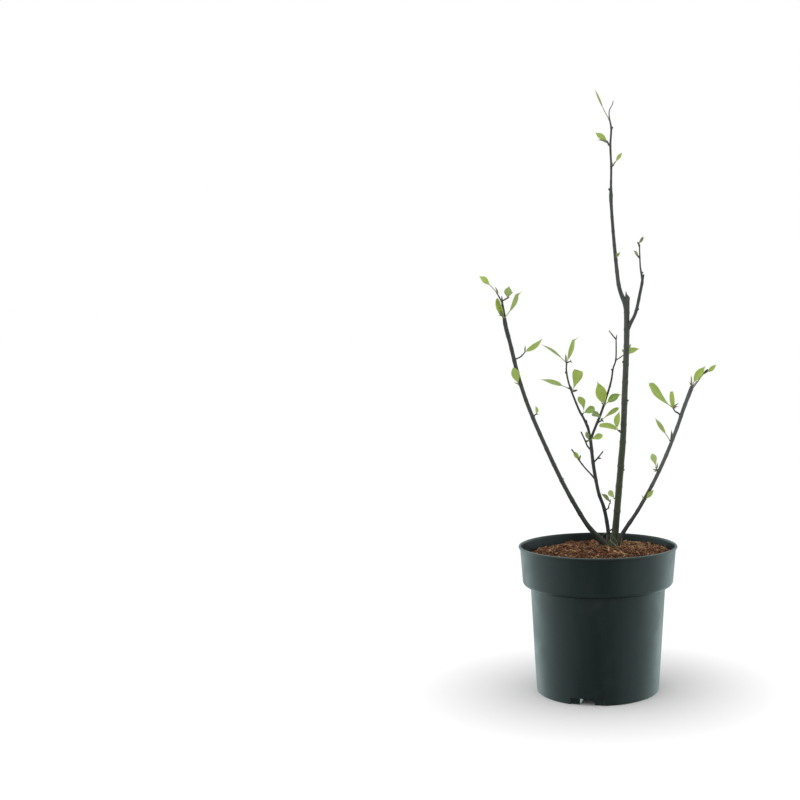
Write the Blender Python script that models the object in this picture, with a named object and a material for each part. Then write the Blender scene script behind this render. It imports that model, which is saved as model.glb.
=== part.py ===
"""A young magnolia in its nursery pot, as separate solids in metres with +Z up.

The origin is the middle of the pot's flat underside. Sizes are written in millimetres, bearings in
degrees anticlockwise from +X seen from above (the front of the plant looks towards bearing 270), and
rises in degrees above the horizon.
"""
import math
from collections import namedtuple

import bmesh
import bpy
from mathutils import Vector

MM = 0.001
CLEARANCE = 0.3

# Pot: a thin-walled nursery container of 170 mm.
POT_SIDES = 48
WALL = 1.4
FOOT_RADIUS = 65.4
BODY_TOP_RADIUS = 72.4
LEDGE_HEIGHT = 110.5
LEDGE_WIDTH = 4.2
LEDGE_RISE = 1.2
COLLAR_FOOT_RADIUS = 80.5
COLLAR_FOOT_HEIGHT = 116.0
COLLAR_ROUND = 2.4
COLLAR_TOP_RADIUS = 83.4
COLLAR_TOP_HEIGHT = 150.6
RIM_RADIUS = 85.0
POT_HEIGHT = 153.0
BEAD_ROUND = 0.8
FOOT_ROUND = 1.2
CUTTER_MARGIN = 5.0
NOTCH_BEARINGS = (260, 20, 140)
NOTCH_WIDTH = 36.0
NOTCH_HEIGHT = 7.0
NOTCH_DEPTH = 4.2
CHANNEL_WIDTH = 15.5
CHANNEL_DEPTH = 26.0

# Peat: a low dome, flat round the plant's crown.
SOIL_LEVEL = 150.0
FLAT_RADIUS = 34.0
DOME_RINGS = (1.0, 0.9, 0.75, 0.6)
DOME_POWER = 1.5
EDGE_LEVEL = 142.0
EDGE_TILT = 3.5
TILT_BEARING = 30

# Plant.
CROWN = (16.0, 14.0, 150.6)
KNEE_LENGTH = 8.0
KNEE_SWELLING = 1.8
RING_SPACING = 11.0
PETIOLE = 0.12
PETIOLE_WIDTH = 0.8
SUNK = 0.6
TWIG_SIDES = 5
STUB_SIDES = 6
LEAF_THICKNESS = 0.5
LEAF_STATIONS = (0.0, PETIOLE, 0.24, 0.42, 0.62, 0.84)
FACE_RISE = 25.0

SOLVER = "EXACT"

SHARP_ANGLE = math.radians(40)

Finish = namedtuple("Finish", "colour roughness metallic")
DARK_PLASTIC = Finish((0.014, 0.026, 0.025), 0.38, 0.0)
PEAT = Finish((0.108, 0.049, 0.026), 0.95, 0.0)
OLIVE_BARK = Finish((0.045, 0.047, 0.034), 0.7, 0.0)
DARK_BARK = Finish((0.024, 0.024, 0.021), 0.65, 0.0)
FRESH_LEAF = Finish((0.27, 0.39, 0.05), 0.5, 0.0)
BARE_TWIG = Finish((0.03, 0.028, 0.024), 0.65, 0.0)

# A limb's courses are its hand-set bends: x, y, z and the diameter there.
Limb = namedtuple("Limb", "name sides courses finish")
LIMBS = (
    Limb("trunk", 10, (
        (17.0, 14.0, 150.0, 15.0), (17.3, 14.0, 154.0, 11.0), (18.5, 14.5, 162.0, 8.2),
        (20.2, 14.0, 177.0, 7.4), (25.2, 12.0, 239.0, 6.7), (27.6, 12.0, 270.0, 5.9),
        (28.9, 10.0, 324.0, 5.8), (31.0, 8.0, 367.0, 5.7), (30.8, 6.0, 408.0, 6.6),
        (30.8, 6.0, 422.0, 6.2)), OLIVE_BARK),
    Limb("bough_left", 8, (
        (8.0, 10.0, 152.0, 6.8), (0.0, 5.0, 161.0, 6.2), (-5.4, 3.0, 167.0, 5.6), (-15.9, 0.0, 182.0, 4.8),
        (-38.0, -9.0, 222.0, 4.4), (-65.8, -21.0, 284.0, 4.2), (-80.5, -29.0, 325.0, 4.2),
        (-91.0, -36.0, 368.0, 4.1), (-95.5, -39.0, 388.0, 4.6), (-98.5, -42.0, 411.5, 1.8)), DARK_BARK),
    Limb("bough_centre", 8, (
        (12.5, 18.0, 152.0, 4.2), (10.1, 21.0, 171.0, 3.6), (1.2, 24.0, 204.0, 3.3),
        (-5.0, 29.0, 235.0, 3.0), (-8.1, 33.0, 266.0, 3.0)), DARK_BARK),
    Limb("bough_right", 8, (
        (20.0, 12.0, 151.5, 5.0), (29.2, 8.0, 168.0, 4.5), (42.6, 3.0, 189.0, 4.0), (58.2, -4.0, 218.0, 3.8),
        (71.2, -11.0, 247.0, 3.7), (82.0, -17.0, 276.0, 3.6), (90.5, -22.0, 302.0, 3.6),
        (97.9, -27.0, 323.0, 3.4)), DARK_BARK),
    Limb("fork_left", 6, (
        (-8.1, 33.0, 262.0, 2.7), (-10.5, 35.0, 274.0, 2.6), (-12.3, 35.0, 279.0, 2.6),
        (-16.0, 37.0, 286.0, 2.2), (-21.7, 40.0, 296.0, 2.1), (-31.3, 46.0, 321.0, 1.8),
        (-34.9, 49.0, 337.0, 1.6), (-34.6, 51.0, 348.0, 1.3)), DARK_BARK),
    Limb("fork_right", 6, (
        (-8.1, 33.0, 262.0, 2.6), (-3.4, 34.0, 275.0, 2.4), (4.5, 36.0, 294.0, 2.2), (13.9, 38.0, 324.0, 2.0),
        (16.8, 38.0, 340.0, 1.9), (20.2, 38.0, 352.0, 1.6), (19.5, 38.0, 373.0, 1.3)), DARK_BARK),
    Limb("leader", 8, (
        (30.5, 6.0, 415.0, 4.8), (25.3, 6.0, 419.0, 4.5), (22.1, 4.0, 432.0, 4.1), (19.4, 2.0, 455.0, 3.8),
        (16.1, 0.0, 491.0, 3.2), (13.7, -2.0, 520.0, 3.9), (13.8, -3.0, 532.0, 2.2), (14.1, -3.0, 557.0, 2.0),
        (12.6, -4.0, 579.0, 1.9), (14.8, -4.0, 597.0, 1.7), (12.1, -4.0, 608.0, 1.4)), DARK_BARK),
    Limb("side_shoot", 8, (
        (31.0, 7.0, 384.0, 3.6), (35.8, 4.0, 390.0, 3.4), (41.3, 2.0, 401.0, 3.3), (46.7, -2.0, 427.0, 3.0),
        (47.8, -4.0, 436.0, 2.6), (44.6, -6.0, 455.0, 1.6), (44.2, -6.0, 472.0, 1.3)), DARK_BARK),
)
PARENTS = {
    "bough_left": ("trunk",),
    "bough_centre": ("trunk",),
    "bough_right": ("trunk",),
    "fork_left": ("bough_centre",),
    "fork_right": ("bough_centre", "fork_left"),
    "leader": ("trunk",),
    "side_shoot": ("trunk",),
}
KNEES = ("bough_left", "bough_centre", "bough_right")

# A stub is a short cut-back or broken side twig, fused to its limb.
Stub = namedtuple("Stub", "limb height length bearing rise diameter")
STUBS = (
    Stub("trunk", 169, 8, 190, -25, 2.0),
    Stub("trunk", 304, 4.6, 350, 30, 2.6),
    Stub("trunk", 346, 4.4, 190, 30, 2.4),
    Stub("trunk", 416, 9, 40, 80, 3.4),
    Stub("leader", 527, 4, 170, 50, 1.8),
    Stub("side_shoot", 432, 5, 10, 25, 1.8),
    Stub("side_shoot", 402, 3.4, 200, 40, 1.6),
    Stub("fork_left", 278, 6.5, 150, 80, 2.0),
    Stub("fork_right", 339, 3.0, 200, 40, 1.5),
    Stub("fork_right", 371, 6.5, 40, 70, 1.2),
    Stub("bough_left", 223, 4.0, 40, 30, 1.0),
)

# A leaf's form: width over length, where it is widest, how steeply its halves fold, how much it cups.
Form = namedtuple("Form", "width widest fold cup")
FORMS = {
    "lance": Form(0.30, 0.50, 0.25, 0.05),
    "narrow": Form(0.20, 0.50, 0.30, 0.03),
    "broad": Form(0.42, 0.58, 0.20, 0.06),
    "round": Form(0.50, 0.55, 0.15, 0.05),
    "diamond": Form(0.64, 0.48, 0.20, 0.04),
    "folded": Form(0.40, 0.50, 1.60, 0.02),
}

# A leaf grows from a point along its twig (1 is the tip), its blade faces a bearing, and it bows upwards.
Leaf = namedtuple("Leaf", "form along length bearing rise faces bow")
Bud = namedtuple("Bud", "along length bearing rise diameter")
Spray = namedtuple("Spray", "name limb height twig diameter leaves buds")
SPRAYS = (
    Spray("spray_leader_tip", "leader", 607, ((9, 195, 55), (8, 200, 55)), 1.2,
          (Leaf("lance", 1.0, 19, 215, 65, 320, -0.08),),
          (Bud(0.1, 12, 60, 75, 1.1), Bud(0.1, 22, 40, 72, 0.9))),
    Spray("spray_leader_left", "leader", 578, ((3, 170, 40),), 1.6,
          (Leaf("lance", 1.0, 21, 160, 48, 240, -0.02),), (Bud(1.0, 5, 175, 60, 1.4),)),
    Spray("spray_leader_right", "leader", 557, ((8, 330, 30),), 1.2,
          (Leaf("lance", 1.0, 10, 330, 52, 260, -0.03),), (Bud(0.4, 3.5, 320, 50, 1.6),)),
    Spray("spray_leader_low", "leader", 458, ((3.5, 275, 20),), 1.7,
          (Leaf("narrow", 1.0, 6, 280, 75, 300, 0.0), Leaf("broad", 1.0, 7, 320, 52, 270, 0.05)), ()),
    Spray("spray_side_tip", "side_shoot", 471, ((4, 160, 65),), 1.6,
          (Leaf("lance", 0.3, 12, 20, 70, 250, 0.0),), (Bud(1.0, 3, 180, 70, 1.6),)),
    Spray("spray_side_left", "side_shoot", 460, ((2.6, 210, 25),), 1.5,
          (Leaf("lance", 1.0, 8, 205, 40, 280, 0.05),), ()),
    Spray("spray_left_tip", "bough_left", 410, ((6, 195, 64), (6, 185, 62), (9, 195, 42)), 1.4,
          (Leaf("broad", 1.0, 16, 208, 44, 280, 0.02),), (Bud(0.55, 7, 90, 75, 1.5),)),
    Spray("spray_left_tip_right", "bough_left", 408, ((8, 40, 25),), 1.3,
          (Leaf("diamond", 0.8, 13, 290, 78, 270, 0.0), Leaf("narrow", 1.0, 8, 40, 30, 270, 0.1)),
          (Bud(1.0, 3, 350, 30, 1.8),)),
    Spray("spray_left_collar", "bough_left", 396, ((3.6, 280, 10),), 1.8,
          (Leaf("folded", 1.0, 21, 225, 66, 180, 0.02), Leaf("narrow", 1.0, 32, 28, 52, 345, 0.0)), ()),
    Spray("spray_left_upper", "bough_left", 350, ((5, 25, 15), (6, 30, 36), (5, 30, 46)), 1.4,
          (Leaf("lance", 1.0, 25, 32, 36, 330, -0.02), Leaf("narrow", 0.95, 7, 100, 80, 0, 0.0)), ()),
    Spray("spray_left_mid", "bough_left", 325, ((3.6, 230, 10),), 1.7,
          (Leaf("broad", 1.0, 20, 243, 62, 270, 0.0),), ()),
    Spray("spray_left_low", "bough_left", 290, ((5.5, 340, 50),), 1.3,
          (Leaf("lance", 1.0, 9, 240, 67, 290, 0.1),), (Bud(1.0, 3, 330, 5, 1.4),)),
    Spray("spray_forkleft_tip", "fork_left", 347, ((3, 60, 75),), 1.5,
          (Leaf("lance", 0.9, 35, 168, 33, 335, -0.02), Leaf("lance", 1.0, 32, 332, 58, 205, 0.03)),
          (Bud(1.0, 6.5, 335, 5, 1.5),)),
    Spray("spray_forkleft_left", "fork_left", 319, ((5, 180, 25),), 1.3,
          (Leaf("lance", 1.0, 30, 165, 13, 320, 0.0),), ()),
    Spray("spray_forkleft_right", "fork_left", 315, ((3.6, 280, 5),), 1.6,
          (Leaf("broad", 1.0, 25, 332, 64, 270, -0.10),), (Bud(1.0, 6, 340, 8, 1.8),)),
    Spray("spray_forkleft_low", "fork_left", 292, ((3.8, 300, 20),), 1.6,
          (Leaf("lance", 1.0, 16, 225, 70, 290, 0.0), Leaf("broad", 1.0, 18, 332, 24, 280, 0.0)), ()),
    Spray("spray_fork", "bough_centre", 261, ((4, 290, 25),), 1.6,
          (Leaf("narrow", 1.0, 12, 190, 64, 290, 0.0), Leaf("lance", 1.0, 18, 332, 20, 290, 0.03)), ()),
    Spray("spray_forkright_pair", "fork_right", 300, ((3.4, 285, 30),), 1.5,
          (Leaf("round", 1.0, 25, 217, 66, 270, 0.0), Leaf("round", 0.9, 21, 25, 26, 275, 0.05)),
          (Bud(1.0, 3, 170, 50, 1.3),)),
    Spray("spray_forkright_low", "fork_right", 281, ((7, 330, 30),), 1.4,
          (Leaf("lance", 1.0, 23, 15, 34, 310, 0.02), Leaf("lance", 1.0, 14, 225, 30, 240, 0.12)), ()),
    Spray("spray_forkright_behind", "fork_right", 353, ((8, 40, 26), (7, 35, 32)), 1.3,
          (Leaf("broad", 1.0, 15, 335, 4, 290, 0.04), Leaf("lance", 0.95, 8, 60, 50, 270, 0.0)), ()),
    Spray("spray_trunk_left", "trunk", 270, ((9, 215, 35),), 1.3,
          (Leaf("lance", 1.0, 20, 200, 20, 260, 0.08), Leaf("lance", 1.0, 20, 290, 80, 250, 0.06)), ()),
    Spray("spray_centre_foot", "bough_centre", 187, ((4.5, 315, 25), (4, 300, 70), (3, 310, 60)), 1.3,
          (Leaf("lance", 1.0, 15, 215, 44, 280, 0.04),), (Bud(1.0, 4, 30, 85, 1.6),)),
    Spray("spray_trunk_foot", "trunk", 196, ((7.6, 220, 36),), 1.4,
          (Leaf("broad", 1.0, 12, 215, 55, 270, 0.0),), ()),
    Spray("spray_right_tip", "bough_right", 322, ((8, 20, 45), (8, 20, 52)), 1.5,
          (Leaf("folded", 1.0, 15, 35, 46, 300, 0.0), Leaf("broad", 0.4, 21, 310, 52, 270, 0.0),
           Leaf("lance", 1.0, 20, 20, 34, 300, 0.03)), (Bud(0.2, 8, 200, 70, 1.6),)),
    Spray("spray_right_upper", "bough_right", 292, ((5, 205, 30), (8, 200, 50)), 1.5,
          (Leaf("lance", 1.0, 38, 200, 46, 250, -0.05), Leaf("lance", 1.0, 17, 86, 80, 270, 0.0),
           Leaf("narrow", 0.6, 7, 40, 40, 300, 0.0)), ()),
    Spray("spray_right_mid", "bough_right", 267, ((4, 190, 45),), 1.5,
          (Leaf("narrow", 1.0, 28, 165, 52, 250, -0.02), Leaf("narrow", 1.0, 11, 280, 76, 200, 0.0)), ()),
    Spray("spray_right_low", "bough_right", 233, ((4, 200, 50),), 1.6,
          (Leaf("broad", 1.0, 16, 225, 68, 270, 0.0),), (Bud(0.8, 5, 190, -5, 1.5),)),
    Spray("spray_right_foot", "bough_right", 202, ((4.2, 320, 30),), 1.6,
          (Leaf("lance", 1.0, 12, 328, 46, 280, 0.04),), ()),
    Spray("twig_forkright_top", "fork_right", 371, ((6, 180, 47), (6.5, 190, 52)), 1.2, (), ()),
    Spray("twig_centre_mid", "bough_centre", 251, ((8, 220, 42), (6, 200, 66), (11, 195, 66)), 1.7, (), ()),
    Spray("twig_centre_low", "bough_centre", 219, ((8, 215, 35), (13, 210, 42), (25, 197, 56)), 1.8,
          (Leaf("lance", 0.62, 11, 195, 62, 290, 0.0), Leaf("narrow", 0.62, 7, 300, 60, 280, 0.0)), ()),
    Spray("twig_centre_right", "bough_centre", 238, ((6.5, 325, 43), (11, 320, 50)), 1.6, (),
          (Bud(0.35, 4.5, 330, 0, 1.3),)),
)


def clear_scene():
    """Remove every object, so the script starts from an empty scene."""
    for item in list(bpy.data.objects):
        bpy.data.objects.remove(item, do_unlink=True)


def heading(bearing, rise):
    """Unit vector of a bearing and a rise."""
    flat = math.cos(math.radians(rise))
    east = flat * math.cos(math.radians(bearing))
    north = flat * math.sin(math.radians(bearing))
    return Vector((east, north, math.sin(math.radians(rise))))


def sampled(courses):
    """Course rows on a smooth curve through the given ones, a ring spacing apart."""
    rows = []
    last = len(courses) - 1
    for i in range(last):
        before, start, end, after = (Vector(courses[min(max(k, 0), last)]) for k in range(i - 1, i + 3))
        steps = max(1, round((end - start).length / RING_SPACING))
        for step in range(steps):
            t = step / steps
            slope = end - before
            bend = 2 * before - 5 * start + 4 * end - after
            twist = 3 * start - before - 3 * end + after
            rows.append(start + (slope * t + bend * t**2 + twist * t**3) / 2)
    rows.append(Vector(courses[-1]))
    return rows


def skin(rings):
    """Mesh data of a closed solid over rings of equal length; a ring of one point is a tip."""
    points = [point for ring in rings for point in ring]
    starts = [sum(len(ring) for ring in rings[:i]) for i in range(len(rings))]
    count = len(rings[0])
    faces = [tuple(reversed(range(count)))]
    for i in range(len(rings) - 1):
        low = starts[i]
        high = starts[i + 1]
        for k in range(count):
            nxt = (k + 1) % count
            if len(rings[i + 1]) == 1:
                faces.append((low + k, low + nxt, high))
            else:
                faces.append((low + k, low + nxt, high + nxt, high + k))
    if len(rings[-1]) > 1:
        faces.append(tuple(starts[-1] + k for k in range(count)))
    return points, faces


def tube(rows, sides, grow=0.0):
    """A tapering round solid along rows of x, y, z and diameter, its rings turned as little as may be."""
    spots = [row.xyz for row in rows]
    if grow:
        spots[0] = spots[0] + (spots[0] - spots[1]).normalized() * grow
        spots[-1] = spots[-1] + (spots[-1] - spots[-2]).normalized() * grow
    side = None
    rings = []
    for i, spot in enumerate(spots):
        along = (spots[min(i + 1, len(spots) - 1)] - spots[max(i - 1, 0)]).normalized()
        side = along.orthogonal() if side is None else side - along * side.dot(along)
        side.normalize()
        other = along.cross(side)
        radius = rows[i][3] / 2 + grow
        turns = (2 * math.pi * k / sides for k in range(sides))
        rings.append([spot + (side * math.cos(a) + other * math.sin(a)) * radius for a in turns])
    return skin(rings)


def point_at(limb, height):
    """The point of a limb's centre line at a height."""
    rows = sampled(limb.courses)
    for low, high in zip(rows, rows[1:]):
        if low.z <= height <= high.z:
            return low.xyz.lerp(high.xyz, (height - low.z) / (high.z - low.z))
    return rows[-1].xyz


def stretch(start, steps, diameter, end_diameter):
    """Rows along straight steps of length, bearing and rise, tapering from one diameter to the other."""
    spots = [start]
    for length, bearing, rise in steps:
        spots.append(spots[-1] + heading(bearing, rise) * length)
    last = len(spots) - 1
    widths = [diameter + (end_diameter - diameter) * i / last for i in range(last + 1)]
    return [Vector((*spot, width)) for spot, width in zip(spots, widths)]


def along_rows(rows, fraction):
    """The point at a fraction of the way along rows, counted by their steps' lengths."""
    lengths = [(b.xyz - a.xyz).length for a, b in zip(rows, rows[1:])]
    left = fraction * sum(lengths)
    for low, high, length in zip(rows, rows[1:], lengths):
        if left <= length:
            return low.xyz.lerp(high.xyz, left / length)
        left -= length
    return rows[-1].xyz


def blade(leaf, base):
    """A leaf, its foot sunk in the twig: a petiole that opens into a thin folded and cupped blade."""
    form = FORMS[leaf.form]
    chord = heading(leaf.bearing, leaf.rise)
    base = base - chord * SUNK
    face = heading(leaf.faces, FACE_RISE)
    normal = (face - chord * face.dot(chord)).normalized()
    side = chord.cross(normal)
    upward = (Vector((0, 0, 1)) - chord * chord.z).normalized()
    skew = math.log(0.5) / math.log(form.widest)
    rings = []
    for t in LEAF_STATIONS:
        arch = 4 * t * (1 - t) * leaf.length
        centre = base + chord * t * leaf.length + (upward * leaf.bow + normal * form.cup) * arch
        opened = max(0.0, (t - PETIOLE) / (1 - PETIOLE))
        half = max(PETIOLE_WIDTH / 2, form.width * leaf.length / 2 * math.sin(math.pi * opened**skew))
        thick = PETIOLE_WIDTH / 2 if t <= PETIOLE else LEAF_THICKNESS / 2
        lift = normal * form.fold * (half - PETIOLE_WIDTH / 2)
        spread = side * half / math.sqrt(1 + form.fold**2)
        crest = normal * thick
        rings.append([centre - spread + lift, centre - crest, centre + spread + lift, centre + crest])
    rings.append([base + chord * leaf.length])
    return skin(rings)


def spindle(bud, base):
    """A closed bud: a plump spindle with a pointed tip."""
    axis = heading(bud.bearing, bud.rise)
    shape = ((0.0, 0.6), (0.4, 1.0), (0.75, 0.7))
    rows = [Vector((*(base + axis * bud.length * t), bud.diameter * wide)) for t, wide in shape]
    points, faces = tube(rows, TWIG_SIDES)
    tip = len(points)
    end = faces.pop()
    faces += [(end[k], end[(k + 1) % TWIG_SIDES], tip) for k in range(TWIG_SIDES)]
    return [*points, base + axis * bud.length], faces


def box_at(bearing, inner, outer, width, low, high):
    """A box whose middle line runs out from the pot's axis along a bearing."""
    out = heading(bearing, 0)
    across = heading(bearing + 90, 0)
    rings = []
    for level in (low, high):
        corners = ((inner, -width / 2), (outer, -width / 2), (outer, width / 2), (inner, width / 2))
        rings.append([out * r + across * w + Vector((0, 0, level)) for r, w in corners])
    return skin(rings)


def turned(profile, sides):
    """A solid turned about the Z axis from a closed profile that starts and ends on the axis."""
    rings = [[Vector((0, 0, profile[0][1]))]]
    for radius, level in profile[1:-1]:
        rings.append([heading(360 * k / sides, 0) * radius + Vector((0, 0, level)) for k in range(sides)])
    points, faces = skin(rings[1:])
    faces = faces[1:-1]
    for level, ring, flip in ((profile[0][1], 0, True), (profile[-1][1], len(rings) - 2, False)):
        centre = len(points)
        points.append(Vector((0, 0, level)))
        for k in range(sides):
            pair = (ring * sides + k, ring * sides + (k + 1) % sides)
            faces.append((*(reversed(pair) if flip else pair), centre))
    return points, faces


def add_object(name, data):
    """A mesh object in metres from points in millimetres and their faces."""
    points, faces = data
    mesh = bpy.data.meshes.new(name)
    mesh.from_pydata([tuple(point * MM) for point in points], [], faces)
    shape = bmesh.new()
    shape.from_mesh(mesh)
    bmesh.ops.recalc_face_normals(shape, faces=shape.faces)
    shape.to_mesh(mesh)
    shape.free()
    item = bpy.data.objects.new(name, mesh)
    bpy.context.scene.collection.objects.link(item)
    return item


def combine(item, tools, operation):
    """Apply one Boolean of an object with a collection of tool objects, which are then removed."""
    group = bpy.data.collections.new("tools")
    bpy.context.scene.collection.children.link(group)
    for tool in tools:
        group.objects.link(tool)
    step = item.modifiers.new(operation.title(), "BOOLEAN")
    step.operation = operation
    step.operand_type = "COLLECTION"
    step.collection = group
    step.solver = SOLVER
    view = bpy.context.evaluated_depsgraph_get()
    result = bpy.data.meshes.new_from_object(item.evaluated_get(view))
    item.modifiers.clear()
    item.data = result
    for tool in tools:
        bpy.data.objects.remove(tool, do_unlink=True)
    bpy.data.collections.remove(group)


def fused(name, shapes):
    """One object from shapes that overlap each other."""
    first, *others = shapes
    item = add_object(name, first)
    if others:
        combine(item, [add_object("piece", shape) for shape in others], "UNION")
    return item


def finish(item, look):
    """Give an object its own Principled material and smooth shading up to sharp edges."""
    material = bpy.data.materials.new(item.name)
    material.use_nodes = True
    shader = material.node_tree.nodes["Principled BSDF"]
    shader.inputs["Base Color"].default_value = (*look.colour, 1.0)
    shader.inputs["Roughness"].default_value = look.roughness
    shader.inputs["Metallic"].default_value = look.metallic
    item.data.materials.clear()
    item.data.materials.append(material)
    item.data.shade_smooth()
    item.data.set_sharp_from_angle(angle=SHARP_ANGLE)


def named_limb(name):
    """The limb of a name."""
    return next(limb for limb in LIMBS if limb.name == name)


def stub_shape(stub, grow):
    """A side stub, as a short tapering stick from the limb's centre line."""
    start = point_at(named_limb(stub.limb), stub.height)
    course = ((stub.length, stub.bearing, stub.rise),)
    return tube(stretch(start, course, stub.diameter, stub.diameter * 0.75), STUB_SIDES, grow)


def knee_shape(name, grow):
    """The swollen foot of a bough, from the middle of the crown to a little way up the bough."""
    limb = named_limb(name)
    first, second = sampled(limb.courses)[:2]
    width = first[3] + KNEE_SWELLING
    end = first.xyz + (second - first).xyz.normalized() * KNEE_LENGTH
    spots = (Vector(CROWN), first.xyz, end)
    widths = (width, width, width - KNEE_SWELLING / 2)
    return tube([Vector((*spot, wide)) for spot, wide in zip(spots, widths)], limb.sides, grow)


def limb_solid(limb, grow=0.0):
    """A limb with its stubs, and the trunk with its knees, cut flat at the soil."""
    shapes = [tube(sampled(limb.courses), limb.sides, grow)]
    shapes += [stub_shape(stub, grow) for stub in STUBS if stub.limb == limb.name]
    if limb.name == "trunk":
        shapes += [knee_shape(name, grow) for name in KNEES]
    item = fused(limb.name if not grow else "room", shapes)
    if limb.name == "trunk" and not grow:
        below = box_at(0, -FOOT_RADIUS, FOOT_RADIUS, 2 * FOOT_RADIUS, 0, SOIL_LEVEL)
        combine(item, [add_object("below", below)], "DIFFERENCE")
    return item


def cut_clear(item, names):
    """Cut an object clear of limbs, so that it meets them with the clearance."""
    for name in names:
        combine(item, [limb_solid(named_limb(name), CLEARANCE)], "DIFFERENCE")


def build_limbs():
    """The trunk, its leader, side shoot, boughs and forks."""
    for limb in LIMBS:
        item = limb_solid(limb)
        cut_clear(item, PARENTS.get(limb.name, ()))
        finish(item, limb.finish)


def build_sprays():
    """Each spray or bare twig, fused in one piece and cut clear of the limb that carries it."""
    for spray in SPRAYS:
        start = point_at(named_limb(spray.limb), spray.height)
        rows = stretch(start, spray.twig, spray.diameter, spray.diameter * 0.8)
        shapes = [tube(rows, TWIG_SIDES)]
        shapes += [blade(leaf, along_rows(rows, leaf.along)) for leaf in spray.leaves]
        shapes += [spindle(bud, along_rows(rows, bud.along)) for bud in spray.buds]
        item = fused(spray.name, shapes)
        cut_clear(item, (spray.limb,))
        finish(item, FRESH_LEAF if spray.leaves else BARE_TWIG)


def wall_radius(level, inset):
    """The radius of the pot's body or collar at a level, less an inset."""
    if level <= LEDGE_HEIGHT:
        share = level / LEDGE_HEIGHT
        return FOOT_RADIUS + (BODY_TOP_RADIUS - FOOT_RADIUS) * share - inset
    share = (level - COLLAR_FOOT_HEIGHT) / (COLLAR_TOP_HEIGHT - COLLAR_FOOT_HEIGHT)
    return COLLAR_FOOT_RADIUS + (COLLAR_TOP_RADIUS - COLLAR_FOOT_RADIUS) * share - inset


def hump_shape(bearing, grow):
    """The block over a drain notch, which stands up inside the pot's wall."""
    inner = FOOT_RADIUS - CHANNEL_DEPTH - WALL - grow
    outer = FOOT_RADIUS + CUTTER_MARGIN
    width = NOTCH_WIDTH + 2 * (WALL + grow)
    return box_at(bearing, inner, outer, width, -CUTTER_MARGIN, NOTCH_HEIGHT + WALL + grow)


def cavity_profile(grow):
    """The pot's inner outline from its floor to under the rim, drawn in by a growth of the wall."""
    thick = WALL + grow
    ledge = LEDGE_HEIGHT + thick
    return [
        (wall_radius(WALL, thick), thick),
        (BODY_TOP_RADIUS - thick, ledge),
        (BODY_TOP_RADIUS + LEDGE_WIDTH - WALL / 2 - grow, ledge + LEDGE_RISE),
        (wall_radius(COLLAR_FOOT_HEIGHT, thick), COLLAR_FOOT_HEIGHT + thick / 2),
    ]


def build_pot():
    """The pot: a turned shell with a beaded rim, a stepped collar and three drain notches in its foot."""
    outline = (
        (0, 0), (FOOT_RADIUS - FOOT_ROUND, 0), (FOOT_RADIUS, FOOT_ROUND), (BODY_TOP_RADIUS, LEDGE_HEIGHT),
        (BODY_TOP_RADIUS + LEDGE_WIDTH, LEDGE_HEIGHT + LEDGE_RISE),
        (COLLAR_FOOT_RADIUS - COLLAR_ROUND / 2, COLLAR_FOOT_HEIGHT - COLLAR_ROUND),
        (COLLAR_FOOT_RADIUS, COLLAR_FOOT_HEIGHT), (COLLAR_TOP_RADIUS, COLLAR_TOP_HEIGHT),
        (RIM_RADIUS - BEAD_ROUND / 2, COLLAR_TOP_HEIGHT + BEAD_ROUND), (RIM_RADIUS, POT_HEIGHT - BEAD_ROUND),
        (RIM_RADIUS - BEAD_ROUND, POT_HEIGHT), (0, POT_HEIGHT),
    )
    above = POT_HEIGHT + CUTTER_MARGIN
    mouth = ((COLLAR_TOP_RADIUS - WALL, COLLAR_TOP_HEIGHT), (COLLAR_TOP_RADIUS, above), (0, above))
    pot = add_object("pot", turned(outline, POT_SIDES))
    cavity = add_object("cavity", turned([(0, WALL), *cavity_profile(0.0), *mouth], POT_SIDES))
    humps = [add_object("hump", hump_shape(bearing, 0.0)) for bearing in NOTCH_BEARINGS]
    combine(cavity, humps, "DIFFERENCE")
    combine(pot, [cavity], "DIFFERENCE")
    for bearing in NOTCH_BEARINGS:
        for depth, width in ((NOTCH_DEPTH, NOTCH_WIDTH), (CHANNEL_DEPTH, CHANNEL_WIDTH)):
            cut = box_at(bearing, FOOT_RADIUS - depth, RIM_RADIUS, width, -CUTTER_MARGIN, NOTCH_HEIGHT)
            combine(pot, [add_object("cut", cut)], "DIFFERENCE")
    finish(pot, DARK_PLASTIC)


def soil_level(radius, reach, bearing):
    """The peat's level: flat round the crown, then falling to an edge that is higher on one side."""
    edge = EDGE_LEVEL + EDGE_TILT * math.cos(math.radians(bearing - TILT_BEARING))
    slope = max(0.0, (radius - FLAT_RADIUS) / (reach - FLAT_RADIUS))
    return SOIL_LEVEL - CLEARANCE - (SOIL_LEVEL - edge) * slope**DOME_POWER


def build_soil():
    """The peat: it fills the pot to a low dome, clear of the wall and of the humps over the notches."""
    reach = wall_radius(EDGE_LEVEL - EDGE_TILT, WALL + 1.5 * CLEARANCE)
    bearings = [360 * k / POT_SIDES for k in range(POT_SIDES)]
    rings = []
    for radius, level in cavity_profile(CLEARANCE):
        rings.append([heading(bearing, 0) * radius + Vector((0, 0, level)) for bearing in bearings])
    for share in (*DOME_RINGS, FLAT_RADIUS / reach):
        radius = reach * share
        levels = [Vector((0, 0, soil_level(radius, reach, bearing))) for bearing in bearings]
        rings.append([heading(bearing, 0) * radius + level for bearing, level in zip(bearings, levels)])
    soil = add_object("soil", skin(rings))
    humps = [add_object("hump", hump_shape(bearing, CLEARANCE)) for bearing in NOTCH_BEARINGS]
    combine(soil, humps, "DIFFERENCE")
    finish(soil, PEAT)


def main():
    """Build the pot, the peat in it and the plant."""
    clear_scene()
    build_pot()
    build_soil()
    build_limbs()
    build_sprays()


main()
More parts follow.
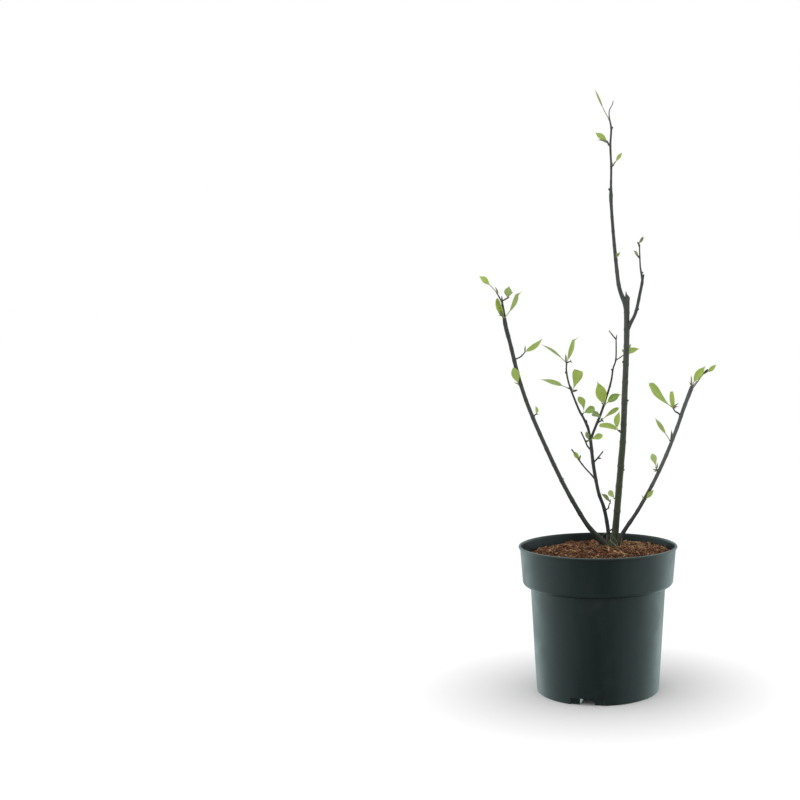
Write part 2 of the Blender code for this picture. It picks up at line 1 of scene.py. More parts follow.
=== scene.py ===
"""A young magnolia with fresh leaves in a plastic nursery pot, dressed for a soft studio picture.

The plant's courses are written as in its construction: millimetres from the middle of the pot's
underside, bearings in degrees anticlockwise from +X seen from above (the front looks towards 270),
and rises in degrees above the horizon. Meshes are handed to Blender in metres.
"""
import logging
import math
import random
from collections.abc import Iterable, Sequence
from dataclasses import dataclass, field
from enum import Enum

import bmesh
import bpy
from mathutils import Matrix, Vector, noise


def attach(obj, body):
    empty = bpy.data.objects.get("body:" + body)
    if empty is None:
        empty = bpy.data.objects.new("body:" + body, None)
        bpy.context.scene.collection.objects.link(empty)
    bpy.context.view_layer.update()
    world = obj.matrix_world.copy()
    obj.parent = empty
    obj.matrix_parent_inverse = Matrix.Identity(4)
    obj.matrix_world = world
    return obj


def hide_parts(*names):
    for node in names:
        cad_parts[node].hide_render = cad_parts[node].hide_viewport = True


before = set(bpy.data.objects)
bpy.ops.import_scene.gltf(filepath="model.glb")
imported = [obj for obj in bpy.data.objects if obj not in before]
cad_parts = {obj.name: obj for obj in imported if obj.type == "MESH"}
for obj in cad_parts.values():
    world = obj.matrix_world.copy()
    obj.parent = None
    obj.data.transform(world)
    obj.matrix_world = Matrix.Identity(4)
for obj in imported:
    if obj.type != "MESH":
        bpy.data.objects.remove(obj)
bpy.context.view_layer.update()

LOG = logging.getLogger("magnolia")
MM = 0.001
BODY = "root"
UP = Vector((0, 0, 1))

Face = tuple[int, ...]
Bend = tuple[float, float, float, float]
Step = tuple[float, float, float]
Colour = tuple[float, float, float]
Filling = float | Sequence[float] | bpy.types.NodeSocket

COLOUR_ENDS = (6, 7)
COLOUR_RESULT = 2


# Finishes

def add_node(tree: bpy.types.NodeTree, kind: str, inputs: dict[str | int, Filling] | None = None,
             **settings: str) -> bpy.types.Node:
    """Add a node to a tree and fill its inputs.

    Args:
        tree: the node tree.
        kind: the node's type.
        inputs: for each input its value, or the socket that is joined to it.
        settings: the node's own options, by name.

    Returns:
        The new node.
    """
    node = tree.nodes.new(kind)
    for option, setting in settings.items():
        setattr(node, option, setting)
    for key, filling in (inputs or {}).items():
        if isinstance(filling, bpy.types.NodeSocket):
            tree.links.new(filling, node.inputs[key])
        else:
            node.inputs[key].default_value = filling
    return node


class Recipe:
    """A material's node tree, with short ways to add and join its nodes."""

    def __init__(self, name: str) -> None:
        """Start a Principled material of a name.

        Args:
            name: the material's name.
        """
        self.material = bpy.data.materials.new(name)
        self.material.use_nodes = True
        self.tree = self.material.node_tree
        self.shader = self.tree.nodes["Principled BSDF"]
        self.places = add_node(self.tree, "ShaderNodeTexCoord").outputs["Object"]

    def stretched(self, scale: Step) -> bpy.types.NodeSocket:
        """Object coordinates scaled by an amount along each axis."""
        inputs = {"Scale": scale, "Vector": self.places}
        return add_node(self.tree, "ShaderNodeMapping", inputs).outputs["Vector"]

    def noise(self, scale: float, detail: float = 4.0, places: bpy.types.NodeSocket | None = None,
              distortion: float = 0.0) -> bpy.types.NodeSocket:
        """A noise value between about 0.3 and 0.7.

        Args:
            scale: features per metre.
            detail: octaves.
            places: coordinates to read, or the object's own.
            distortion: how far the noise warps itself.

        Returns:
            The noise's value socket.
        """
        inputs = {"Scale": scale, "Detail": detail, "Distortion": distortion, "Vector": places or self.places}
        return add_node(self.tree, "ShaderNodeTexNoise", inputs).outputs["Fac"]

    def cells(self, scale: float, places: bpy.types.NodeSocket) -> bpy.types.NodeSocket:
        """The distance to the nearest of many scattered points."""
        inputs = {"Scale": scale, "Vector": places}
        return add_node(self.tree, "ShaderNodeTexVoronoi", inputs).outputs["Distance"]

    def remapped(self, value: bpy.types.NodeSocket, span: tuple[float, float],
                 result: tuple[float, float]) -> bpy.types.NodeSocket:
        """A value carried from one span to another and held inside it."""
        inputs = {"From Min": span[0], "From Max": span[1], "To Min": result[0], "To Max": result[1],
                  "Value": value}
        return add_node(self.tree, "ShaderNodeMapRange", inputs).outputs["Result"]

    def height(self) -> bpy.types.NodeSocket:
        """The height above the pot's underside, in metres."""
        return add_node(self.tree, "ShaderNodeSeparateXYZ", {"Vector": self.places}).outputs["Z"]

    def distance(self) -> bpy.types.NodeSocket:
        """The distance from the object's origin, in metres."""
        node = add_node(self.tree, "ShaderNodeVectorMath", {0: self.places}, operation="LENGTH")
        return node.outputs["Value"]

    def mixed(self, share: bpy.types.NodeSocket, first: Colour | bpy.types.NodeSocket,
              second: Colour | bpy.types.NodeSocket) -> bpy.types.NodeSocket:
        """Two colours mixed by a share.

        Args:
            share: 0 gives the first colour and 1 the second.
            first: a colour or a colour socket.
            second: a colour or a colour socket.

        Returns:
            The mixed colour's socket.
        """
        inputs = {"Factor": share}
        for key, end in zip(COLOUR_ENDS, (first, second)):
            inputs[key] = (*end, 1.0) if isinstance(end, tuple) else end
        return add_node(self.tree, "ShaderNodeMix", inputs, data_type="RGBA").outputs[COLOUR_RESULT]

    def colour(self, socket: bpy.types.NodeSocket) -> None:
        """Drive the base colour."""
        self.tree.links.new(socket, self.shader.inputs["Base Color"])

    def roughness(self, socket: bpy.types.NodeSocket) -> None:
        """Drive the roughness."""
        self.tree.links.new(socket, self.shader.inputs["Roughness"])

    def relief(self, heights: Sequence[tuple[bpy.types.NodeSocket, float]]) -> None:
        """Raise the surface by several values, each with its own depth in metres.

        Args:
            heights: the values with their depths.
        """
        below: dict[str | int, Filling] = {}
        for value, depth in heights:
            node = add_node(self.tree, "ShaderNodeBump", {"Distance": depth, "Height": value, **below})
            below = {"Normal": node.outputs["Normal"]}
        self.tree.links.new(below["Normal"], self.shader.inputs["Normal"])


@dataclass(frozen=True)
class PlasticFinish:
    """Moulded dark plastic: an even sheen with faint flow streaks, dust and a scuffed rim."""

    deep: Colour = (0.0042, 0.0102, 0.0098)
    pale: Colour = (0.0068, 0.0138, 0.0132)
    dusty: Colour = (0.020, 0.029, 0.026)
    gloss: tuple[float, float] = (0.30, 0.42)
    specular: float = 0.42
    rim_band: tuple[float, float] = (0.1500, 0.1526)

    def material(self, name: str) -> bpy.types.Material:
        """Make the plastic's material.

        Args:
            name: the material's name.

        Returns:
            The material.
        """
        recipe = Recipe(name)
        flow = recipe.noise(1.0, 3.0, recipe.stretched((90, 90, 9)))
        cloud = recipe.noise(38.0, 5.0, distortion=0.6)
        grain = recipe.noise(1900.0, 2.0)
        tone = recipe.mixed(recipe.remapped(flow, (0.35, 0.65), (0, 1)), self.deep, self.pale)
        dust = recipe.remapped(cloud, (0.56, 0.80), (0, 0.35))
        rim = recipe.remapped(recipe.height(), self.rim_band, (0, 0.55))
        tone = recipe.mixed(dust, tone, self.dusty)
        recipe.colour(recipe.mixed(rim, tone, self.dusty))
        recipe.roughness(recipe.remapped(cloud, (0.35, 0.70), self.gloss))
        recipe.relief(((flow, 0.00006), (grain, 0.00002)))
        recipe.shader.inputs["Specular IOR Level"].default_value = self.specular
        return recipe.material


@dataclass(frozen=True)
class BarkFinish:
    """Young bark: streaked along the stem, pale on its warts and dark in its grooves."""

    foot: Colour
    top: Colour
    groove: Colour
    wart: Colour
    span: tuple[float, float]
    roughness: tuple[float, float] = (0.50, 0.72)
    specular: float = 0.35

    def material(self, name: str) -> bpy.types.Material:
        """Make the bark's material.

        Args:
            name: the material's name.

        Returns:
            The material.
        """
        recipe = Recipe(name)
        streak = recipe.noise(1.0, 5.0, recipe.stretched((900, 900, 110)), 0.4)
        patch = recipe.noise(70.0, 4.0, distortion=0.8)
        fleck = recipe.cells(1.0, recipe.stretched((560, 560, 330)))
        tone = recipe.mixed(recipe.remapped(recipe.height(), self.span, (0, 1)), self.foot, self.top)
        tone = recipe.mixed(recipe.remapped(streak, (0.38, 0.60), (0.50, 0)), tone, self.groove)
        tone = recipe.mixed(recipe.remapped(patch, (0.52, 0.72), (0, 0.35)), tone, self.wart)
        recipe.colour(recipe.mixed(recipe.remapped(fleck, (0.08, 0.17), (0.60, 0)), tone, self.wart))
        recipe.roughness(recipe.remapped(patch, (0.35, 0.65), self.roughness))
        recipe.relief(((streak, 0.00012), (fleck, 0.00006)))
        recipe.shader.inputs["Specular IOR Level"].default_value = self.specular
        return recipe.material


@dataclass(frozen=True)
class LeafFinish:
    """A young blade's surface: one base colour, faintly mottled, with a soft sheen."""

    base: Colour
    mottle: float = 0.91
    roughness: tuple[float, float] = (0.42, 0.58)
    specular: float = 0.35
    sheen: float = 0.06

    def material(self, name: str) -> bpy.types.Material:
        """Make the leaf's material.

        Args:
            name: the material's name.

        Returns:
            The material.
        """
        recipe = Recipe(name)
        patch = recipe.noise(150.0, 3.0)
        fine = recipe.noise(2600.0, 2.0)
        darker = tuple(value * self.mottle for value in self.base)
        recipe.colour(recipe.mixed(recipe.remapped(patch, (0.38, 0.62), (0, 1)), self.base, darker))
        recipe.roughness(recipe.remapped(patch, (0.35, 0.65), self.roughness))
        recipe.relief(((fine, 0.00001),))
        recipe.shader.inputs["Specular IOR Level"].default_value = self.specular
        recipe.shader.inputs["Sheen Weight"].default_value = self.sheen
        return recipe.material


@dataclass(frozen=True)
class PeatFinish:
    """Fibrous peat: brown, darker in its hollows, with paler dry fibre, rough all over."""

    hollow_tone: Colour
    brown: Colour
    dry: Colour
    roughness: float = 0.95
    specular: float = 0.15

    def material(self, name: str) -> bpy.types.Material:
        """Make the peat's material.

        Args:
            name: the material's name.

        Returns:
            The material.
        """
        recipe = Recipe(name)
        clump = recipe.noise(210.0, 6.0, distortion=1.2)
        thread = recipe.noise(1.0, 4.0, recipe.stretched((1500, 420, 900)), 1.5)
        # darker where the clump noise, which also sets the relief, is low
        tone = recipe.mixed(recipe.remapped(clump, (0.36, 0.58), (0, 1)), self.hollow_tone, self.brown)
        recipe.colour(recipe.mixed(recipe.remapped(thread, (0.54, 0.68), (0, 0.8)), tone, self.dry))
        recipe.relief(((clump, 0.0009), (thread, 0.0004)))
        recipe.shader.inputs["Roughness"].default_value = self.roughness
        recipe.shader.inputs["Specular IOR Level"].default_value = self.specular
        return recipe.material


class Tone(Enum):
    """The base colours dealt out to the blades, scales and buds. The leaf greens are raised above the blades'
    own colour as painted light, standing in for the light that shines through the thin leaves.
    """

    # leaf greens: the blades' own greens brightened as painted light, for light passing through them
    LIME = LeafFinish((0.310, 0.418, 0.066))
    FRESH = LeafFinish((0.276, 0.378, 0.072))
    SOFT = LeafFinish((0.262, 0.350, 0.105))
    PALE = LeafFinish((0.350, 0.445, 0.150))
    COOL = LeafFinish((0.190, 0.262, 0.105))
    DEEP = LeafFinish((0.178, 0.295, 0.052))
    MOSS = LeafFinish((0.190, 0.235, 0.070))
    OLIVE = LeafFinish((0.120, 0.142, 0.062))
    RIB = LeafFinish((0.330, 0.420, 0.115), roughness=(0.45, 0.55))
    STALK = LeafFinish((0.215, 0.262, 0.105), roughness=(0.45, 0.60))
    RED = LeafFinish((0.250, 0.110, 0.090), mottle=0.8)
    PINK = LeafFinish((0.420, 0.260, 0.230), mottle=0.85)
    SHEATH = LeafFinish((0.190, 0.215, 0.125), mottle=0.8)
    BUD = LeafFinish((0.070, 0.070, 0.048), mottle=0.7, sheen=0.3)
    DARK = LeafFinish((0.060, 0.052, 0.030), mottle=0.7, sheen=0.2)


OLIVE_BARK = BarkFinish((0.043, 0.049, 0.023), (0.056, 0.062, 0.057), (0.026, 0.030, 0.017),
                        (0.092, 0.098, 0.074), (0.26, 0.40))
LEFT_BARK = BarkFinish((0.032, 0.036, 0.023), (0.046, 0.050, 0.044), (0.018, 0.019, 0.015),
                       (0.074, 0.078, 0.066), (0.17, 0.24))
GREY_BARK = BarkFinish((0.044, 0.047, 0.041), (0.090, 0.094, 0.089), (0.028, 0.028, 0.026),
                       (0.118, 0.120, 0.110), (0.17, 0.26))
# the thin stems' near-black is partly their own dark bark and partly painted shade, a darker base colour for
# the little light their fronts get
BLACK_BARK = BarkFinish((0.027, 0.030, 0.026), (0.036, 0.038, 0.034), (0.015, 0.015, 0.013),
                        (0.062, 0.064, 0.055), (0.15, 0.30))
LEADER_BARK = BarkFinish((0.054, 0.057, 0.051), (0.052, 0.054, 0.050), (0.024, 0.024, 0.022),
                         (0.100, 0.102, 0.088), (0.42, 0.56))
TWIG_BARK = BarkFinish((0.044, 0.046, 0.036), (0.062, 0.066, 0.046), (0.024, 0.024, 0.018),
                       (0.095, 0.096, 0.078), (0.20, 0.60))

PEAT_BED = PeatFinish((0.010, 0.0036, 0.002), (0.095, 0.036, 0.015), (0.250, 0.124, 0.060))
PEAT_CRUMB = PeatFinish((0.042, 0.015, 0.006), (0.185, 0.073, 0.032), (0.315, 0.165, 0.085))
FIBRE_BROWN = PeatFinish((0.110, 0.041, 0.017), (0.250, 0.104, 0.047), (0.340, 0.180, 0.093))
FIBRE_TAN = PeatFinish((0.270, 0.148, 0.076), (0.480, 0.290, 0.158), (0.600, 0.410, 0.250))
# near-black peat bits: partly the peat's own dark matter and partly painted shade that deepens the gaps between
# crumbs
DARK_PEAT_AND_SHADE = PeatFinish((0.008, 0.003, 0.0015), (0.028, 0.010, 0.005), (0.075, 0.031, 0.015))
ROOT_SKIN = PeatFinish((0.090, 0.080, 0.050), (0.230, 0.200, 0.135), (0.380, 0.330, 0.240))


# Shapes in millimetres

def heading(bearing: float, rise: float) -> Vector:
    """The unit vector of a bearing and a rise.

    Args:
        bearing: degrees anticlockwise from +X.
        rise: degrees above the horizon.

    Returns:
        The vector.
    """
    flat = math.cos(math.radians(rise))
    turn = math.radians(bearing)
    return Vector((flat * math.cos(turn), flat * math.sin(turn), math.sin(math.radians(rise))))


def smooth_step(low: float, high: float, value: float) -> float:
    """0 below the low value, 1 above the high one, and an even curve between."""
    t = min(1.0, max(0.0, (value - low) / (high - low)))
    return t * t * (3 - 2 * t)


class MeshPile:
    """Points in millimetres and their faces, gathered into one joined mesh."""

    def __init__(self) -> None:
        """Start an empty pile."""
        self.points: list[Vector] = []
        self.faces: list[Face] = []
        self.slots: list[int] = []

    def add(self, points: Sequence[Vector], faces: Sequence[Face], slots: int | Sequence[int] = 0) -> None:
        """Add one closed shape.

        Args:
            points: its points, in millimetres.
            faces: its faces, as numbers of those points.
            slots: the material number of all its faces, or of each.
        """
        start = len(self.points)
        self.points.extend(points)
        self.faces.extend(tuple(start + k for k in face) for face in faces)
        self.slots.extend([slots] * len(faces) if isinstance(slots, int) else slots)

    def piece(self, name: str, materials: Sequence[bpy.types.Material], crease: float = 60) -> bpy.types.Object:
        """Make the pile one object in metres.

        Args:
            name: the object's name.
            materials: the materials that the face numbers point at.
            crease: the angle in degrees past which an edge stays sharp.

        Returns:
            The new object, with its faces pointing out.
        """
        mesh = bpy.data.meshes.new(name)
        mesh.from_pydata([tuple(point * MM) for point in self.points], [], self.faces)
        for material in materials:
            mesh.materials.append(material)
        mesh.polygons.foreach_set("material_index", self.slots)
        shape = bmesh.new()
        shape.from_mesh(mesh)
        bmesh.ops.recalc_face_normals(shape, faces=shape.faces)
        shape.to_mesh(mesh)
        shape.free()
        mesh.shade_smooth()
        mesh.set_sharp_from_angle(angle=math.radians(crease))
        item = bpy.data.objects.new(name, mesh)
        bpy.context.scene.collection.objects.link(item)
        return item


def skin(rings: Sequence[Sequence[Vector]]) -> tuple[list[Vector], list[Face]]:
    """A closed surface over rings of equal length.

    Args:
        rings: the rings in order, each turned the same way.

    Returns:
        The points, with the two end centres last, and the faces, ring by ring and the ends last.
    """
    count = len(rings[0])
    points = [point for ring in rings for point in ring]
    faces: list[Face] = []
    for low in range(0, count * (len(rings) - 1), count):
        for k in range(count):
            nxt = (k + 1) % count
            faces.append((low + k, low + nxt, low + count + nxt, low + count + k))
    for low, ring, flip in ((0, rings[0], True), (count * (len(rings) - 1), rings[-1], False)):
        centre = len(points)
        points.append(sum(ring, Vector()) / count)
        for k in range(count):
            pair = (low + k, low + (k + 1) % count)
            faces.append((*(reversed(pair) if flip else pair), centre))
    return points, faces


class Course:
    """A smooth curve through set bends, read by the distance along it."""

    def __init__(self, bends: Iterable[Bend | Vector], grain: int = 8) -> None:
        """Draw the curve.

        Args:
            bends: x, y, z and diameter in millimetres at each bend.
            grain: straight bits between two bends.
        """
        knots = [Vector(bend) for bend in bends]
        last = len(knots) - 1
        self.rows: list[Vector] = []
        for i in range(last):
            before, start, end, after = (knots[min(max(k, 0), last)] for k in range(i - 1, i + 3))
            for step in range(grain):
                t = step / grain
                bend = 2 * before - 5 * start + 4 * end - after
                twist = 3 * start - before - 3 * end + after
                self.rows.append(start + ((end - before) * t + bend * t**2 + twist * t**3) / 2)
        self.rows.append(knots[last])
        self.marks = [0.0]
        for low, high in zip(self.rows, self.rows[1:]):
            self.marks.append(self.marks[-1] + (high.xyz - low.xyz).length)

    @property
    def length(self) -> float:
        """The curve's whole length."""
        return self.marks[-1]

    def at(self, distance: float) -> Vector:
        """The place and diameter at a distance along the curve.

        Args:
            distance: millimetres from the curve's start.

        Returns:
            x, y, z and diameter.
        """
        for k in range(1, len(self.marks)):
            if distance <= self.marks[k] or k == len(self.marks) - 1:
                share = (distance - self.marks[k - 1]) / max(self.marks[k] - self.marks[k - 1], 1e-6)
                return self.rows[k - 1].lerp(self.rows[k], min(1.0, share))
        return self.rows[-1]

    def distance_at_height(self, height: float) -> float:
        """The distance along the curve at which it passes a height.

        Args:
            height: millimetres above the pot's underside.

        Returns:
            The distance, or the whole length if it never does.
        """
        for k, (low, high) in enumerate(zip(self.rows, self.rows[1:])):
            if low.z <= height <= high.z:
                share = (height - low.z) / (high.z - low.z)
                return self.marks[k] + share * (self.marks[k + 1] - self.marks[k])
        return self.length


@dataclass(frozen=True)
class Relief:
    """How a bark stands out of its stem, in millimetres and shares of the radius."""

    ridge: float = 0.16
    wart: float = 0.14
    scar: float = 0.10
    swelling: float = 0.10
    flare: float = 0.35
    seed: float = 0.0

    def radius(self, radius: float, turn: float, distance: float, nodes: Sequence[float]) -> float:
        """The relieved radius at a place on the stem.

        Args:
            radius: the plain radius there.
            turn: the angle round the stem, in radians.
            distance: the distance from the stem's foot.
            nodes: distances of the nodes, each a swelling with a ring scar over it.

        Returns:
            The radius, in millimetres.
        """
        across = Vector((math.cos(turn), math.sin(turn), 0))
        broad = noise.noise(across * 1.7 + Vector((self.seed, 0, distance * 0.09)))
        fine = noise.noise(across * 5.5 + Vector((0, self.seed, distance * 0.30)))
        grown = radius * (1 + 0.05 * broad) + self.ridge * (0.6 * broad + 0.5 * fine)
        warts = noise.voronoi(across * radius * 0.42 + Vector((0, self.seed, distance * 0.30)))[0][0]
        grown += self.wart * max(0.0, 1 - warts / 0.22)
        for node in nodes:
            off = distance - node
            if abs(off) < 5:
                grown += radius * self.swelling * math.exp(-(off / 1.7) ** 2)
                grown -= self.scar * math.exp(-((off - 1.0) / 0.22) ** 2)
        return grown + radius * self.flare * math.exp(-distance / (1.2 * radius + 1.5))


def stem(course: Course, sides: int, relief: Relief, nodes: Sequence[float] = (), pitch: float = 0.9,
         blunt: float = 0.6) -> tuple[list[Vector], list[Face]]:
    """A closed round stem along a course, with its bark's relief.

    Args:
        course: the middle line and diameters.
        sides: points round the stem.
        relief: how the bark stands out.
        nodes: distances of the nodes along the course.
        pitch: the distance between rings away from the nodes.
        blunt: how much of the tip's radius is left where it rounds over.

    Returns:
        The stem's points and faces.
    """
    stops = {round(k * pitch, 3) for k in range(int(course.length / pitch) + 1)}
    for node in nodes:
        stops |= {round(node + off, 3) for off in (-0.9, 0.35, 0.7, 0.85, 1.0, 1.15, 1.3, 1.7)}
    distances = sorted(stop for stop in stops if 0 <= stop < course.length - 0.2) + [course.length]
    spots = [course.at(distance) for distance in distances]
    side = None
    rings = []
    for i, spot in enumerate(spots):
        along = (spots[min(i + 1, len(spots) - 1)].xyz - spots[max(i - 1, 0)].xyz).normalized()
        side = along.orthogonal() if side is None else side - along * side.dot(along)
        side.normalize()
        other = along.cross(side)
        ring = []
        for k in range(sides):
            turn = 2 * math.pi * k / sides
            radius = relief.radius(spot.w / 2, turn, distances[i], nodes)
            ring.append(spot.xyz + (side * math.cos(turn) + other * math.sin(turn)) * radius)
        rings.append(ring)
    tip = spots[-1]
    for share, lift in ((0.85, 0.22), (blunt, 0.34)):
        middle = tip.xyz + along * tip.w / 2 * lift
        rings.append([middle + (point - tip.xyz) * share for point in rings[len(spots) - 1]])
    return skin(rings)


def stepped(start: Vector, steps: Sequence[Step], diameter: float, taper: float) -> Course:
    """The course of a twig that goes on from a point in steps.

    Args:
        start: where it begins.
        steps: the length, bearing and rise of each step.
        diameter: its diameter where it begins.
        taper: the share of its diameter that it has lost by its end.

    Returns:
        The twig's course.
    """
    spots = [start]
    for length, bearing, rise in steps:
        spots.append(spots[-1] + heading(bearing, rise) * length)
    last = len(spots) - 1
    return Course(Vector((*spot, diameter * (1 - taper * k / last))) for k, spot in enumerate(spots))


# The plant's own courses

class Bark(Enum):
    """The barks of the limbs."""

    OLIVE = OLIVE_BARK
    LEFT = LEFT_BARK
    GREY = GREY_BARK
    BLACK = BLACK_BARK
    LEADER = LEADER_BARK


@dataclass(frozen=True)
class Limb:
    """A limb: its node, its bark, its bends as x, y, z and diameter, and the heights of its nodes."""

    name: str
    bark: Bark
    sides: int
    bends: tuple[Bend, ...]
    nodes: tuple[float, ...] = ()

    def course(self) -> Course:
        """The limb's middle line."""
        return Course(self.bends)


@dataclass(frozen=True)
class Stub:
    """A short cut-back or broken side twig."""

    limb: str
    height: float
    length: float
    bearing: float
    rise: float
    diameter: float


LIMBS = (
    Limb("trunk", Bark.OLIVE, 40, (
        (17.0, 14.0, 148.0, 10.8), (17.3, 14.0, 154.0, 9.2), (18.3, 14.5, 162.0, 7.9), (19.8, 14.0, 177.0, 7.3),
        (24.9, 12.0, 239.0, 7.0), (27.3, 12.0, 270.0, 6.6), (29.2, 10.0, 324.0, 6.4), (30.8, 8.0, 367.0, 6.2),
        (31.0, 6.0, 408.0, 6.0), (31.3, 6.0, 417.6, 6.1), (31.2, 6.0, 419.0, 4.6), (30.4, 6.0, 421.4, 2.0),
        (30.2, 6.0, 424.8, 0.6)),
        (187, 214, 236, 262, 281, 304, 327, 346, 366, 384, 402)),
    Limb("bough_left", Bark.LEFT, 30, (
        (8.0, 10.0, 151.0, 7.2), (-0.4, 5.0, 161.0, 6.3), (-6.0, 3.0, 167.0, 5.7), (-16.6, 0.0, 182.0, 4.9),
        (-38.6, -9.0, 222.5, 4.5), (-66.0, -21.0, 284.0, 4.2), (-80.7, -29.0, 325.0, 4.1),
        (-91.3, -36.0, 368.0, 4.2), (-96.2, -39.0, 388.5, 4.4), (-99.4, -42.0, 412.8, 1.8)),
        (186, 201, 223, 240, 257, 273, 290, 309, 325, 338, 350, 363, 376, 389, 402)),
    Limb("bough_centre", Bark.BLACK, 26, (
        (12.5, 18.0, 151.0, 5.2), (10.2, 21.0, 171.0, 4.2), (6.3, 23.0, 190.0, 4.0), (0.6, 24.0, 206.0, 3.7),
        (-5.0, 29.0, 235.0, 3.8), (-8.5, 33.0, 266.5, 3.5)),
        (175, 187, 203, 219, 238, 251)),
    Limb("bough_right", Bark.GREY, 28, (
        (20.0, 12.0, 150.5, 5.2), (29.2, 8.0, 168.0, 4.5), (42.6, 3.0, 189.0, 4.1), (58.2, -4.0, 218.0, 3.9),
        (71.4, -11.0, 247.5, 4.0), (82.4, -17.0, 276.5, 3.9), (91.2, -22.0, 303.0, 4.0),
        (97.4, -26.4, 320.0, 4.3), (98.4, -27.0, 323.0, 4.2)),
        (176, 189, 202, 217, 233, 250, 267, 280, 292, 304, 314)),
    Limb("fork_left", Bark.BLACK, 20, (
        (-8.5, 33.0, 262.5, 3.2), (-10.7, 35.0, 274.5, 3.1), (-12.6, 35.0, 279.5, 3.0),
        (-16.2, 37.0, 287.0, 2.6), (-21.7, 40.0, 297.0, 2.4), (-31.6, 46.0, 322.0, 2.1),
        (-35.2, 49.0, 338.0, 1.9), (-34.8, 51.0, 348.6, 1.5)),
        (278, 292, 303, 317, 336, 346)),
    Limb("fork_right", Bark.BLACK, 20, (
        (-8.5, 33.0, 262.5, 3.0), (-3.4, 34.0, 275.5, 2.9), (4.2, 36.0, 294.5, 2.7), (13.8, 38.0, 324.5, 2.1),
        (16.6, 38.0, 341.0, 1.9), (19.8, 38.0, 352.0, 1.7), (20.0, 38.0, 374.2, 1.4)),
        (281, 299, 315, 324, 339, 351)),
    Limb("leader", Bark.LEADER, 26, (
        (30.8, 6.0, 405.0, 4.8), (29.2, 6.0, 412.0, 5.5), (25.2, 6.0, 421.5, 4.7), (22.0, 4.0, 433.0, 4.3),
        (19.1, 2.0, 458.0, 4.0), (16.0, 0.0, 491.0, 3.5), (14.0, -2.0, 519.0, 3.5), (13.9, -2.4, 526.0, 4.3),
        (13.8, -2.8, 533.0, 3.2), (13.9, -3.0, 540.0, 2.5), (14.1, -3.0, 558.0, 2.4), (13.2, -4.0, 580.0, 2.3),
        (14.1, -4.0, 598.0, 2.1), (11.8, -4.0, 609.6, 1.6)),
        (432, 446, 458, 474, 489, 504, 521, 541, 557, 579, 598)),
    Limb("side_shoot", Bark.LEADER, 22, (
        (30.4, 7.0, 381.0, 3.8), (32.6, 6.0, 386.0, 4.7), (35.4, 4.0, 391.0, 3.8), (40.8, 2.0, 403.0, 3.5),
        (45.7, -2.0, 426.0, 3.2), (47.2, -3.6, 435.0, 2.8), (46.4, -4.4, 442.0, 2.1), (44.9, -5.6, 453.0, 1.7),
        (44.2, -6.0, 474.0, 1.4)),
        (393, 404, 416, 432, 445, 460)),
)
STUBS = (
    Stub("trunk", 169, 8, 190, -25, 1.9),
    Stub("trunk", 231, 4.6, 350, 15, 1.9),
    Stub("trunk", 305, 4.7, 350, 30, 2.5),
    Stub("trunk", 347, 4.2, 190, 30, 2.8),
    Stub("leader", 531, 4, 170, 50, 1.9),
    Stub("leader", 598, 2.2, 350, 40, 1.8),
    Stub("side_shoot", 433, 9.2, 4, 80, 2.5),
    Stub("side_shoot", 443, 2.6, 20, 40, 1.5),
    Stub("side_shoot", 404, 3.2, 350, 35, 2.2),
    Stub("fork_left", 278, 6.5, 150, 80, 1.9),
    Stub("fork_left", 336, 2.2, 190, 40, 1.7),
    Stub("fork_right", 339, 2.3, 200, 40, 1.4),
    Stub("fork_right", 320, 2.4, 10, 40, 1.2),
    Stub("fork_right", 373.6, 5.0, 40, 76, 1.1),
    Stub("bough_left", 223, 4.0, 40, 30, 0.8),
    Stub("bough_left", 382, 6.6, 205, 72, 3.2),
)


@dataclass(frozen=True)
class Blade:
    """A leaf's outline and section.

    The width is a share of the length, and the widest place a share of the way along. The fold and
    the cup are how steeply its halves rise and how far it bellies. The tip is how finely it draws
    in, the tail the share of it that is a thin drip tip, and the fullness blunts it below 1. The
    cut is the share of the outline missing where the end is broad and straight.
    """

    width: float
    widest: float
    fold: float
    cup: float
    tip: float = 0.0
    tail: float = 0.0
    fullness: float = 1.0
    cut: float = 0.0

    def half(self, opened: float) -> float:
        """Half the width at a share of the way along the blade, as a share of its length.

        Args:
            opened: the share of the way along.

        Returns:
            The half width.
        """
        if opened > 1 - self.tail:
            return 0.0
        body = opened / (1 - self.tail) * (1 - self.cut)
        skew = math.log(0.5) / math.log(self.widest)
        drawn = 1 - self.tip * smooth_step(0.70, 0.97, body)
        return self.width / 2 * math.sin(math.pi * min(body**skew, 0.9999)) ** self.fullness * drawn


class Form(Enum):
    """The forms of the leaves."""

    LANCE = Blade(0.32, 0.50, 0.25, 0.05, 0.35)
    NARROW = Blade(0.20, 0.50, 0.30, 0.03, 0.35)
    SLIM = Blade(0.12, 0.48, 0.50, 0.03, 0.30)
    CRESCENT = Blade(0.215, 0.40, 0.40, 0.04, 0.30)
    BROAD = Blade(0.42, 0.58, 0.20, 0.06, 0.25)
    OVAL = Blade(0.45, 0.60, 0.20, 0.06, 0.0, 0.0, 0.80)
    ROUND = Blade(0.40, 0.52, 0.15, 0.05, 0.10, 0.08, 0.88)
    DIAMOND = Blade(0.62, 0.48, 0.20, 0.04, 0.45)
    SPOON = Blade(0.36, 0.74, 0.22, 0.05, 0.0, 0.0, 0.85)
    CUT = Blade(0.45, 0.68, 0.16, 0.05, cut=0.17)
    BLUNT = Blade(0.52, 0.62, 0.18, 0.06, cut=0.14)
    HOOKED = Blade(0.175, 0.58, 0.30, 0.05, 0.0, 0.15, 0.70, 0.05)
    SAIL = Blade(0.21, 0.66, 0.25, 0.05, 0.0, 0.08, 0.85, 0.10)
    RIBBON = Blade(0.28, 0.50, 0.40, 0.05, fullness=0.35, cut=0.06)
    FOLDED = Blade(0.44, 0.55, 1.40, 0.02, 0.0, 0.0, 0.6, 0.05)
    STRAP = Blade(0.21, 0.42, 0.80, 0.10, 0.35)


